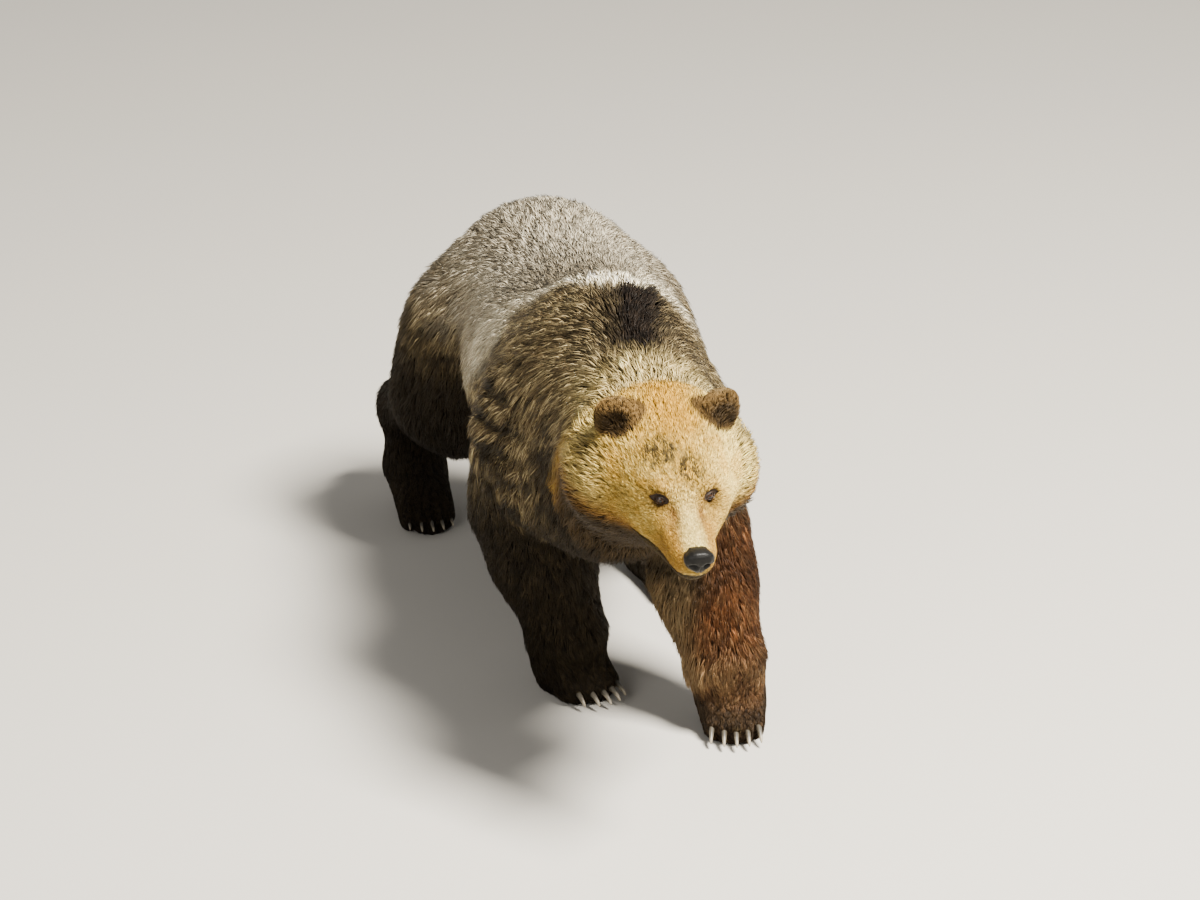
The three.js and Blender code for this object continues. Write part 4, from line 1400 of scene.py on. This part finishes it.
def grow_coat(hide, coat, paint):
    """Grows the whole coat and yields its pieces' names, slots and meshes."""
    rng = np.random.default_rng(coat.seed)
    clump_density = hide.furred / clump_spacing(hide.hair) ** 2
    clumps = Locks(hide, *hide.scattered(clump_density, rng))
    locks = Locks(hide, *hide.scattered(lock_density(hide, coat.locks), rng))

    # Each clump lies and reaches its own way
    turn = rng.normal(0.0, 0.26, clumps.count)
    reach = np.clip(rng.normal(1.0, 0.16, clumps.count), 0.6, 1.4)
    tint = rng.normal(0.0, 1.0, clumps.count)
    clumps.turn(turn)
    clumps.hair = clumps.hair * reach
    clumps.nap = clumps.nap * np.clip(rng.normal(0.95, 0.2, clumps.count), 0.5, 1.5)
    clumps.lay(hide)

    # The locks follow their clump, and run together where it lies close and faces the same way
    owner, away = nearest_clumps(clumps, locks)
    on_head = share_of(locks.kinds, "head")
    agree = (clumps.normal[owner] * locks.normal).sum(axis=1)
    pull = coat.clump * ease(-away, -0.05, -0.025) * ease(agree, 0.2, 0.7) * (1.0 - 0.35 * on_head)
    locks.turn(0.6 * turn[owner] + rng.normal(0.0, 0.16, locks.count))
    locks.hair = locks.hair * (0.45 + 0.55 * reach[owner]) * rng.uniform(0.78, 1.12, locks.count)
    locks.nap = locks.nap * np.clip(rng.normal(0.9, 0.22, locks.count), 0.3, 1.45)
    locks.lay(hide)
    locks.run_together(clumps, owner, pull)
    locks.widths = lock_width(locks.hair) * rng.uniform(0.75, 1.2, locks.count)
    locks.rolls = rng.normal(0.0, 0.45, locks.count)

    # Colours, from where each lock's outer part is seen
    short = on_head + share_of(locks.kinds, "ear")
    seen_at = 0.4 * locks.root + 0.6 * locks.lines[:, -1]
    uneven = 0.28 - 0.18 * short - 0.16 * ease(seen_at[:, 1], -0.05, 0.12)
    own_tint = (0.10 + 0.08 * short) * rng.normal(0.0, 1.0, locks.count)
    locks.shades = np.exp(uneven * tint[owner] + own_tint)
    # Locks near their clump's middle come out paler and those between clumps darker: painted shade in the
    # gaps between clumps
    inner = 1.0 - held(away / (0.55 * clump_spacing(clumps.hair[owner])))
    chance = 0.30 * rng.random(locks.count) + 0.34 * rng.random(clumps.count)[owner] + 0.36 * inner
    pelt = pelt_at(seen_at, held(0.5 + 1.7 * (chance - chance.mean())), paint)

    zones = zone_of(locks.root, locks.kinds)
    for zone, slot in ZONES.items():
        mine = np.flatnonzero(zones == ZONE_NUMBERS[zone])
        name = "Coat_" + zone
        yield name, slot, lock_mesh(name, locks, mine, pelt, root_maps(hide, locks, mine))


# ---- Eyes, lids, nose and claws ------------------------------------------------------------------


def smoothed(work, verts, rounds):
    """Draws vertices half way towards their neighbours a number of times."""
    for _ in range(rounds):
        bmesh.ops.smooth_vert(
            work, verts=verts, factor=0.5, use_axis_x=True, use_axis_y=True, use_axis_z=True
        )


# The swelling over the iris: how high it stands, and how wide it is as a share of the eyeball
CORNEA_HEIGHT = 0.0007
CORNEA_SPREAD = 0.42


def make_eyeball(side, face):
    """A ball with a swelling over the iris, which looks along the eye's gaze."""
    eye = EyeAxes(side, face)
    work = bmesh.new()
    bmesh.ops.create_uvsphere(work, u_segments=64, v_segments=48, radius=eye.radius)
    turn = Vector(eye.gaze).to_track_quat("Z", "Y").to_matrix()
    seen = []
    for vert in work.verts:
        swell = 0.0
        place = (eye.radius, 0.0, 0.0)
        if vert.co.z > 0:
            outward = math.hypot(vert.co.x, vert.co.y) / eye.radius
            swell = CORNEA_HEIGHT * math.exp(-((outward / CORNEA_SPREAD) ** 2))
            place = (vert.co.x, vert.co.y, 0.0)
        seen.append(place)
        vert.co += vert.normal * (swell - CORNEA_HEIGHT)
    bmesh.ops.rotate(work, verts=work.verts, cent=(0.0, 0.0, 0.0), matrix=turn)
    bmesh.ops.translate(work, verts=work.verts, vec=Vector(eye.centre))
    bmesh.ops.recalc_face_normals(work, faces=work.faces)
    mesh = mesh_of(work, "Eye_" + side)
    keep(mesh, "iris_place", np.array(seen))
    return mesh


# The rings of the lids that stand on the eyeball, and those that lie over the sunken skin: how far
# out from the opening each is, and how high
EDGE_RINGS = ((0.90, -0.0006), (0.95, 0.0009), (1.00, 0.0017))
SKIN_RINGS = (
    (1.08, 0.0016),
    (1.20, 0.0017),
    (1.34, 0.0016),
    (1.50, 0.0013),
    (1.68, 0.0009),
    (1.88, 0.0003),
    (2.12, -0.0008),
)
LID_RINGS = EDGE_RINGS + SKIN_RINGS
LID_STEPS = 72
LID_SHEET = 0.0006
# The search for the skin under a lid starts this far out and goes this deep, and the lids within
# this share of the opening keep clear of the eyeball
SEARCH_FROM = 0.05
SEARCH_DEPTH = 0.06
CLEAR_SHARE = 1.3


def lid_place(eye, flat, ring, hide):
    """Where a lid stands at a place across the eye, on one of its rings."""
    share, over = LID_RINGS[ring]
    on_ball = math.sqrt(max(eye.radius**2 - flat @ flat, (0.4 * eye.radius) ** 2))
    if ring < len(EDGE_RINGS):
        return eye.place(np.array([*flat, on_ball + over]))
    start = eye.place(np.array([*flat, SEARCH_FROM]))
    hit = hide.tree.ray_cast(Vector(start), Vector(-eye.out), SEARCH_DEPTH)[0]
    skin = eye.seen(np.array(hit)[None])[0][2] if hit is not None else 0.0
    clear_of_ball = on_ball + EDGE_RINGS[-1][1] if share < CLEAR_SHARE else -1.0
    return eye.place(np.array([*flat, max(skin + over, clear_of_ball)]))


def make_lids(side, face, hide):
    """A pair of lids, from the eyeball out to the skin of the face."""
    eye = EyeAxes(side, face)
    work = bmesh.new()
    last_ring = len(LID_RINGS) - 1
    bmesh.ops.create_grid(work, x_segments=last_ring, y_segments=LID_STEPS, size=0.5)
    layer = work.verts.layers.float.new("lid_share")
    for vert in work.verts:
        ring = round((vert.co.x + 0.5) * last_ring)
        bearing = 2.0 * math.pi * (vert.co.y + 0.5)
        vert[layer] = LID_RINGS[ring][0]
        flat = opening_edge(bearing, face) * LID_RINGS[ring][0]
        vert.co = Vector(lid_place(eye, flat, ring, hide))
    bmesh.ops.remove_doubles(work, verts=work.verts, dist=1e-5)
    inner = [vert for vert in work.verts if LID_SPREAD[0] < vert[layer] < 2.0]
    smoothed(work, inner, 2)
    bmesh.ops.recalc_face_normals(work, faces=work.faces)
    if sum(tile.normal.dot(Vector(eye.out)) for tile in work.faces) < 0:
        bmesh.ops.reverse_faces(work, faces=work.faces)
    bmesh.ops.solidify(work, geom=work.faces, thickness=LID_SHEET)
    return mesh_of(work, "Lids_" + side)


def nostril_slit(step):
    """One stretch of the slit that curls out and back from a nostril, as a form of the nose."""
    centre = (15.5 + 2.2 * step, 9.0 - 2.4 * step, -3.5 - 0.35 * step * step + 0.9 * step)
    return centre, (1.9, 6.0, 1.5), 2.0 - 0.28 * step


# Forms of the nose in millimetres from its middle, in the head's own directions, on both sides:
# centre, sizes and how far the pad sinks in the hollows or swells round them
NOSTRIL = ((10.0, 12.0, -3.0), (5.0, 7.0, 4.0), 7.0)
NOSE_HOLLOWS = [NOSTRIL] + [nostril_slit(step) for step in range(5)]
NOSE_SWELLINGS = (
    ((10.0, 11.0, 6.0), (7.0, 8.0, 3.0), 1.1),
    ((4.6, 12.0, -5.0), (2.2, 8.0, 5.0), 0.9),
)
MILLIMETRES = 1000.0
# How deep the groove down the pad's middle is, and how deep a hollow is fully darkened with painted shade
NOSE_GROOVE = 1.5
FULLY_HOLLOW = 5.0
# How far out the pad stands where no ray meets its solid, how much it is grown along each axis, and
# how far its back tapers and is drawn into the muzzle
NOSE_RADIUS = 0.015
NOSE_GROWTH = np.array([1.09, 1.0, 1.06])
NOSE_TAPER = 0.18
NOSE_ROOT = 0.013


def nose_pad():
    """A fine ball drawn onto the nose's solid and smoothed."""
    solid = grown_copy("nose", 0.0)
    corners = [vert.co for vert in solid.vertices]
    tree = BVHTree.FromPolygons(corners, [face.vertices for face in solid.polygons])
    bpy.data.meshes.remove(solid)
    centre = Vector(middle("nose"))
    work = bmesh.new()
    bmesh.ops.create_icosphere(work, subdivisions=6, radius=1.0)
    for vert in work.verts:
        hit = tree.ray_cast(centre, vert.co.normalized())
        vert.co = hit[0] if hit[0] is not None else centre + vert.co * NOSE_RADIUS
    smoothed(work, work.verts, 14)
    bmesh.ops.recalc_face_normals(work, faces=work.faces)
    return mesh_of(work, "Nose")


def make_nose():
    """The nose pad: curled nostrils, a groove down its middle, and its back drawn into the muzzle."""
    mesh = nose_pad()
    points = places_of(mesh)
    folded = folded_over((to_head(points) - NOSE) * MILLIMETRES)
    front = ease(folded[:, 1], -4.0, 3.0)
    sunk = np.zeros(len(points))
    for centre, sizes, amount in NOSE_HOLLOWS:
        sunk += amount * front * lobe(folded, centre, sizes)
    sunk += NOSE_GROOVE * stripe(folded[:, 0], 0.75) * ease(-folded[:, 2], 2.0, 7.0) * front
    swell = sum(amount * front * lobe(folded, *form) for *form, amount in NOSE_SWELLINGS)
    points = points + normals_of(mesh) * ((swell - sunk) / MILLIMETRES)[:, None]

    places = to_head(points) - NOSE
    into_muzzle = ease(-folded[:, 1], -3.0, 9.0)[:, None]
    drawn_in = NOSE_TAPER * places * np.array([1.0, 0.0, 1.0]) + np.array([0.0, NOSE_ROOT, 0.0])
    put_places(mesh, from_head(places * NOSE_GROWTH - into_muzzle * drawn_in + NOSE))
    # How far each place is sunk, for the painted shade in the nostrils and the groove
    keep(mesh, "hollow", held(sunk / FULLY_HOLLOW))
    return mesh


# How far the corners of a claw are moved out before it is rounded over
CLAW_GROWTH = 0.0011


def make_claw(node):
    """A claw with its corners joined, grown by what the rounding will take off it."""
    grown = grown_copy(node, CLAW_GROWTH)
    work = bmesh.new()
    work.from_mesh(grown)
    bpy.data.meshes.remove(grown)
    bmesh.ops.join_triangles(
        work,
        faces=work.faces,
        angle_face_threshold=math.radians(40),
        angle_shape_threshold=math.radians(60),
    )
    bmesh.ops.recalc_face_normals(work, faces=work.faces)
    mesh = mesh_of(work, node)
    low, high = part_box(node)
    points = places_of(mesh)
    points[:, 2] = np.maximum(points[:, 2], low.z)
    put_places(mesh, points)
    keep(mesh, "from_root", (high.z - points[:, 2]) / (high.z - low.z))
    return mesh


# ---- Finishes ------------------------------------------------------------------------------------


# Where a Mix node keeps the sockets that it uses for colours
MIX_SHARE, MIX_FIRST, MIX_SECOND = 0, 6, 7
MIX_RESULT = 2


class Finish:
    """A material's nodes, added and joined one at a time."""

    def __init__(self, name, **sockets):
        self.material = bpy.data.materials.new(name)
        self.material.use_nodes = True
        self.tree = self.material.node_tree
        self.shader = self.tree.nodes["Principled BSDF"]
        for socket, value in sockets.items():
            self.shader.inputs[socket.replace("_", " ")].default_value = value

    def node(self, kind, settings=None, **inputs):
        """Adds a node. Inputs are numbers, colours or other nodes' outputs."""
        made = self.tree.nodes.new("ShaderNode" + kind)
        for key, value in (settings or {}).items():
            setattr(made, key, value)
        for key, value in inputs.items():
            self.feed(made.inputs[key.replace("_", " ")], value)
        return made

    def feed(self, socket, value):
        """Joins another node's output to a socket, or sets the socket to a value."""
        if isinstance(value, bpy.types.NodeSocket):
            self.tree.links.new(value, socket)
        else:
            socket.default_value = value

    def places(self, scale=(1.0, 1.0, 1.0)):
        """Object coordinates, drawn out or pressed together along each axis."""
        source = self.node("TexCoord").outputs["Object"]
        return self.node("Mapping", Vector=source, Scale=scale).outputs[0]

    def noise(self, vector, scale, detail=3.0, rough=0.55):
        """Soft noise about 0.5, finer for a larger scale."""
        made = self.node("TexNoise", Vector=vector, Scale=scale, Detail=detail, Roughness=rough)
        return made.outputs["Fac"]

    def pits(self, vector, scale, **settings):
        """Distance from the middle of the nearest of many cells."""
        return self.node("TexVoronoi", settings, Vector=vector, Scale=scale).outputs["Distance"]

    def vector(self, way, vector, output):
        """The length or the direction of a vector."""
        made = self.node("VectorMath", {"operation": way})
        self.feed(made.inputs[0], vector)
        return made.outputs[output]

    def ramp(self, value, start, end):
        """0 at the start value, 1 at the end."""
        made = self.node("MapRange", {"clamp": True, "interpolation_type": "SMOOTHSTEP"}, Value=value)
        made.inputs["From Min"].default_value = start
        made.inputs["From Max"].default_value = end
        return made.outputs["Result"]

    def between(self, value, low, high):
        """A value from 0 to 1 turned into one from low to high."""
        made = self.node("MapRange", {"clamp": True}, Value=value)
        made.inputs["To Min"].default_value = low
        made.inputs["To Max"].default_value = high
        return made.outputs["Result"]

    def mix(self, share, first, second, way="MIX"):
        """The first colour, turned by a share into the second."""
        made = self.node("Mix", {"data_type": "RGBA", "blend_type": way})
        self.feed(made.inputs[MIX_SHARE], share)
        self.feed(made.inputs[MIX_FIRST], first)
        self.feed(made.inputs[MIX_SECOND], second)
        return made.outputs[MIX_RESULT]

    def sum(self, way, first, second):
        """Two values added, or the second taken from the first."""
        made = self.node("Math", {"operation": way})
        self.feed(made.inputs[0], first)
        self.feed(made.inputs[1], second)
        return made.outputs[0]

    def attribute(self, name, output="Color"):
        """What is stored at the piece's vertices under a name."""
        return self.node("Attribute", {"attribute_name": name}).outputs[output]

    def bump(self, height, depth, strength=1.0, over=None):
        """A surface raised by a height, over another bump if there is one."""
        made = self.node("Bump", Height=height, Distance=depth, Strength=strength)
        if over is not None:
            self.feed(made.inputs["Normal"], over)
        return made.outputs[0]

    def end(self, **sockets):
        """Joins what has been made to the shader and hands over the material."""
        for socket, value in sockets.items():
            self.feed(self.shader.inputs[socket.replace("_", " ")], value)
        return self.material


def opaque(shade, factor=1.0):
    """A setting's colour with its alpha, darkened or lightened."""
    return tuple(min(1.0, channel * factor) for channel in shade) + (1.0,)


def skin_finish():
    """Hide seen between the locks: underfur, and bare leather at the lids, lips and pads."""
    look = Finish("Bear_Hide", Specular_IOR_Level=0.2)
    place = look.places()
    underfur = look.noise(place, 420.0, 2.0)
    pores = look.pits(place, 640.0)
    bare = look.attribute("bare", "Fac")
    shade = opaque((0.25, 0.21, 0.17))
    shaded = look.mix(look.between(underfur, 0.15, 0.75), look.attribute("pigment"), shade, "MULTIPLY")
    fine = look.bump(look.mix(bare, underfur, pores), 0.0007, 0.8)
    return look.end(
        Base_Color=shaded,
        Roughness=look.between(bare, 0.72, 0.40),
        Normal=look.bump(look.noise(place, 110.0, 2.0), 0.0012, 0.35, over=fine),
    )


def coat_finish():
    """Hair: the markings at the roots and tips, streaked and faintly glossy."""
    look = Finish("Bear_Hair", Specular_IOR_Level=0.12)
    strands = look.noise(look.attribute("strand", "Vector"), 2.1, 2.0)
    patches = look.between(look.noise(look.places(), 26.0, 3.0), 0.0, 0.35)
    warm = look.mix(patches, look.attribute("pigment"), opaque((1.0, 0.93, 0.83)), "MULTIPLY")
    dark = look.mix(1.0, warm, opaque((0.58, 0.51, 0.44)), "MULTIPLY")
    streaked = look.mix(look.ramp(strands, 0.58, 0.36), warm, dark)
    return look.end(
        Base_Color=streaked,
        Roughness=look.between(strands, 0.42, 0.68),
        Normal=look.bump(strands, 0.0005, 0.6),
    )


def eye_finish(paint, face):
    """A wet eye: a round pupil in a streaked brown iris with a dark rim."""
    look = Finish(
        "Wet_Eye",
        Coat_Weight=0.6,
        Coat_Roughness=0.03,
        Coat_IOR=1.38,
        Roughness=0.3,
        Specular_IOR_Level=0.2,
    )
    place = look.attribute("iris_place", "Vector")
    out = look.vector("LENGTH", place, "Value")
    streaks = look.noise(look.vector("NORMALIZE", place, "Vector"), 9.0, 4.0, 0.7)
    iris = look.mix(streaks, opaque(paint.iris, 0.45), opaque(paint.iris, 1.9))
    rim = look.ramp(out, 0.55 * face.iris_size, face.iris_size)
    iris = look.mix(rim, iris, opaque(paint.iris, 0.18))
    beyond = look.ramp(out, face.iris_size, 1.25 * face.iris_size)
    ball = look.mix(beyond, iris, opaque((0.03, 0.017, 0.012)))
    pupil = look.ramp(out, 0.88 * face.pupil_size, 1.08 * face.pupil_size)
    return look.end(Base_Color=look.mix(pupil, opaque((0.002, 0.002, 0.002)), ball))


def lid_finish(paint):
    """Dark lid leather, wet at the edge and creased round the eye."""
    look = Finish("Lid_Leather", Specular_IOR_Level=0.25)
    share = look.attribute("lid_share", "Fac")
    creases = look.noise(look.places(scale=(1.0, 1.0, 2.6)), 240.0, 3.0)
    tone = look.mix(look.between(creases, 0.1, 0.7), opaque(paint.leather, 1.1), opaque(paint.rust, 0.12))
    outer = look.mix(look.ramp(share, 1.6, 2.05), tone, opaque(paint.rust, 0.3))
    fine = look.bump(look.pits(look.places(), 900.0), 0.0003, 0.5)
    return look.end(
        Base_Color=outer,
        Roughness=look.between(look.ramp(share, 1.0, 1.15), 0.2, 0.65),
        Normal=look.bump(creases, 0.0008, 0.5, over=fine),
    )


def nose_finish(paint):
    """Moist black pebbled leather, dull, with painted shade inside the nostrils and the groove."""
    look = Finish("Nose_Leather", Specular_IOR_Level=0.14, Coat_Weight=0.02, Coat_Roughness=0.25)
    place = look.places()
    pebbles = look.pits(place, 620.0, feature="SMOOTH_F1")
    broad = look.noise(place, 95.0, 3.0)
    tone = look.mix(broad, opaque(paint.leather, 0.8), opaque(paint.leather, 1.6))
    worn = look.mix(look.ramp(pebbles, 0.15, 0.6), opaque(paint.leather, 1.9), tone)
    # Painted shade: the leather darker in the nostrils and the groove
    dark = look.mix(look.attribute("hollow", "Fac"), worn, opaque((0.0015, 0.0013, 0.0012)))
    fine = look.bump(look.sum("SUBTRACT", 1.0, pebbles), 0.0005, 0.75)
    return look.end(
        Base_Color=dark,
        Roughness=look.between(broad, 0.34, 0.52),
        Normal=look.bump(broad, 0.001, 0.3, over=fine),
    )


def claw_finish(paint):
    """Horn: dark at the root, pale down to the tip, with fine lengthwise grain."""
    look = Finish("Claw_Horn", Specular_IOR_Level=0.5, Coat_Weight=0.12, Coat_Roughness=0.3)
    down = look.attribute("from_root", "Fac")
    grain = look.noise(look.places(scale=(1.0, 0.22, 0.22)), 900.0, 3.0)
    blotch = look.noise(look.places(), 120.0, 2.0)
    horn = look.mix(look.between(grain, 0.2, 0.8), opaque(paint.horn, 0.55), opaque(paint.horn, 1.15))
    past_root = look.ramp(look.sum("ADD", down, look.between(blotch, -0.25, 0.25)), 0.2, 0.7)
    return look.end(
        Base_Color=look.mix(past_root, opaque(paint.horn, 0.16), horn),
        Roughness=look.between(grain, 0.32, 0.55),
        Normal=look.bump(grain, 0.0003, 0.4),
    )


def floor_finish(shade):
    """A plain pale floor, faintly uneven."""
    look = Finish("Studio_Floor", Roughness=0.9, Specular_IOR_Level=0.2)
    place = look.places()
    tone = look.between(look.noise(place, 1.4, 4.0), 0.0, 0.5)
    return look.end(
        Base_Color=look.mix(tone, opaque(shade), opaque(shade, 0.93)),
        Normal=look.bump(look.noise(place, 90.0), 0.001, 0.15),
    )


# ---- Steps ---------------------------------------------------------------------------------------


class BEAR_OT_skin(bpy.types.Operator):
    """Makes the skin from the solids of the flesh"""

    bl_idname = "bear.skin"
    bl_label = "Skin"

    def execute(self, context):
        scene = context.scene
        mesh = make_skin(scene.bear_skin, scene.bear_coat, scene.bear_face, scene.bear_colours)
        skin = show("Bear_Skin", mesh, skin_finish(), "body_coat")
        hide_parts(*FLESH)
        return {"FINISHED"}


class BEAR_OT_coat(bpy.types.Operator):
    """Grows the coat on the skin"""

    bl_idname = "bear.coat"
    bl_label = "Coat"

    def execute(self, context):
        scene = context.scene
        hide = Hide(needed("Bear_Skin").data)
        hair = coat_finish()
        for name, slot, mesh in grow_coat(hide, scene.bear_coat, scene.bear_colours):
            if len(mesh.polygons) > MOST_TRIANGLES:
                raise RuntimeError(f"{name} has {len(mesh.polygons)} triangles")
            show(name, mesh, hair, slot)
        return {"FINISHED"}


class BEAR_OT_eyes(bpy.types.Operator):
    """Makes the eyeballs and their lids"""

    bl_idname = "bear.eyes"
    bl_label = "Eyes"

    def execute(self, context):
        scene = context.scene
        hide = Hide(needed("Bear_Skin").data)
        wet = eye_finish(scene.bear_colours, scene.bear_face)
        leather = lid_finish(scene.bear_colours)
        for side in EYES:
            ball = show("Eye_" + side, make_eyeball(side, scene.bear_face), wet, "eye")
            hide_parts("eye_" + side)
            show("Lids_" + side, make_lids(side, scene.bear_face, hide), leather, "nose_leather")
        return {"FINISHED"}


class BEAR_OT_nose(bpy.types.Operator):
    """Makes the nose pad"""

    bl_idname = "bear.nose"
    bl_label = "Nose"

    def execute(self, context):
        nose = show("Nose", make_nose(), nose_finish(context.scene.bear_colours), "nose_leather")
        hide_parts("nose")
        return {"FINISHED"}


class BEAR_OT_claws(bpy.types.Operator):
    """Makes the twenty claws"""

    bl_idname = "bear.claws"
    bl_label = "Claws"

    def execute(self, context):
        horn = claw_finish(context.scene.bear_colours)
        for leg, nodes in CLAWS.items():
            for toe, node in zip(TOES, nodes):
                claw = show(f"Claw_{leg}_{toe}", make_claw(node), horn, "claw_horn")
                rounding = claw.modifiers.new("Rounding", "SUBSURF")
                rounding.levels = 2
                rounding.render_levels = 2
                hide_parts(node)
        return {"FINISHED"}


# Half the width of the floor, the camera's sensor in millimetres, the colour of the light from all
# round, and where each lamp stands, what it points at, its size and its tint
FLOOR_HALF = 30.0
SENSOR_WIDTH = 36.0
SKY_TINT = (1.0, 0.98, 0.95)
LAMPS = {
    "Key": ((2.0, -2.7, 5.9), (0.0, -0.1, 0.5), 1.8, (1.0, 0.95, 0.86)),
    "Fill": ((-3.2, -3.6, 2.4), (0.0, -0.2, 0.5), 2.6, (1.0, 0.98, 0.95)),
}


def make_floor(shade):
    """A floor that runs out past what the camera sees."""
    work = bmesh.new()
    bmesh.ops.create_grid(work, x_segments=8, y_segments=8, size=FLOOR_HALF)
    floor = bpy.data.objects.new("Floor", mesh_of(work, "Floor"))
    floor.data.materials.append(floor_finish(shade))
    bpy.context.scene.collection.objects.link(floor)
    return floor


def make_sky(strength):
    """Even light from all round."""
    world = bpy.data.worlds.new("Studio")
    world.use_nodes = True
    background = world.node_tree.nodes["Background"]
    background.inputs["Color"].default_value = opaque(SKY_TINT)
    background.inputs["Strength"].default_value = strength
    bpy.context.scene.world = world


def make_lamp(name, power):
    """A soft square light that points at its aim."""
    place, aim, size, tint = LAMPS[name]
    lamp = bpy.data.lights.new(name, "AREA")
    lamp.size = size
    lamp.energy = power
    lamp.color = tint
    holder = bpy.data.objects.new(name, lamp)
    holder.location = place
    holder.rotation_euler = (Vector(place) - Vector(aim)).to_track_quat("Z", "Y").to_euler()
    bpy.context.scene.collection.objects.link(holder)


def make_camera(stage):
    """The camera, set off from its aim by its two angles."""
    level = math.cos(stage.elevation)
    aside = math.sin(stage.azimuth) * level
    ahead = math.cos(stage.azimuth) * level
    back = Vector((aside, -ahead, math.sin(stage.elevation)))
    camera = bpy.data.objects.new("Camera", bpy.data.cameras.new("Camera"))
    camera.data.lens = stage.lens
    camera.data.sensor_width = SENSOR_WIDTH
    camera.location = Vector(stage.aim) + back * stage.distance
    camera.rotation_euler = back.to_track_quat("Z", "Y").to_euler()
    bpy.context.scene.collection.objects.link(camera)
    bpy.context.scene.camera = camera


class BEAR_OT_stage(bpy.types.Operator):
    """Sets up the floor, the lights and the camera"""

    bl_idname = "bear.stage"
    bl_label = "Stage"

    def execute(self, context):
        stage = context.scene.bear_stage
        floor = make_floor(stage.floor)
        make_sky(stage.sky)
        make_lamp("Key", stage.key)
        make_lamp("Fill", stage.fill)
        make_camera(stage)
        return {"FINISHED"}


class BEAR_PT_bear(bpy.types.Panel):
    """The bear's settings and the steps that make it"""

    bl_idname = "BEAR_PT_bear"
    bl_label = "Brown Bear"
    bl_space_type = "VIEW_3D"
    bl_region_type = "UI"
    bl_category = "Bear"

    def draw(self, context):
        for name, kind in SETTINGS.items():
            box = self.layout.box()
            box.label(text=name.replace("bear_", "").title())
            settings = getattr(context.scene, name)
            for key in kind.__annotations__:
                box.prop(settings, key)
        for step in STEPS:
            self.layout.operator(step.bl_idname)


SETTINGS = {
    "bear_skin": BearSkinSettings,
    "bear_coat": BearCoatSettings,
    "bear_colours": BearColours,
    "bear_face": BearFaceSettings,
    "bear_stage": BearStageSettings,
}
STEPS = (
    BEAR_OT_skin,
    BEAR_OT_coat,
    BEAR_OT_eyes,
    BEAR_OT_nose,
    BEAR_OT_claws,
    BEAR_OT_stage,
)
CLASSES = tuple(SETTINGS.values()) + STEPS + (BEAR_PT_bear,)


def register():
    """Adds the bear's classes and its settings."""
    for kind in CLASSES:
        bpy.utils.register_class(kind)
    for name, kind in SETTINGS.items():
        setattr(bpy.types.Scene, name, PointerProperty(type=kind))


def unregister():
    """Takes the bear's settings and its classes away."""
    for name in SETTINGS:
        delattr(bpy.types.Scene, name)
    for kind in reversed(CLASSES):
        bpy.utils.unregister_class(kind)


def main():
    """Makes the bear and its stage."""
    register()
    bpy.ops.bear.skin()
    bpy.ops.bear.coat()
    bpy.ops.bear.eyes()
    bpy.ops.bear.nose()
    bpy.ops.bear.claws()
    bpy.ops.bear.stage()


if __name__ == "__main__":
    main()
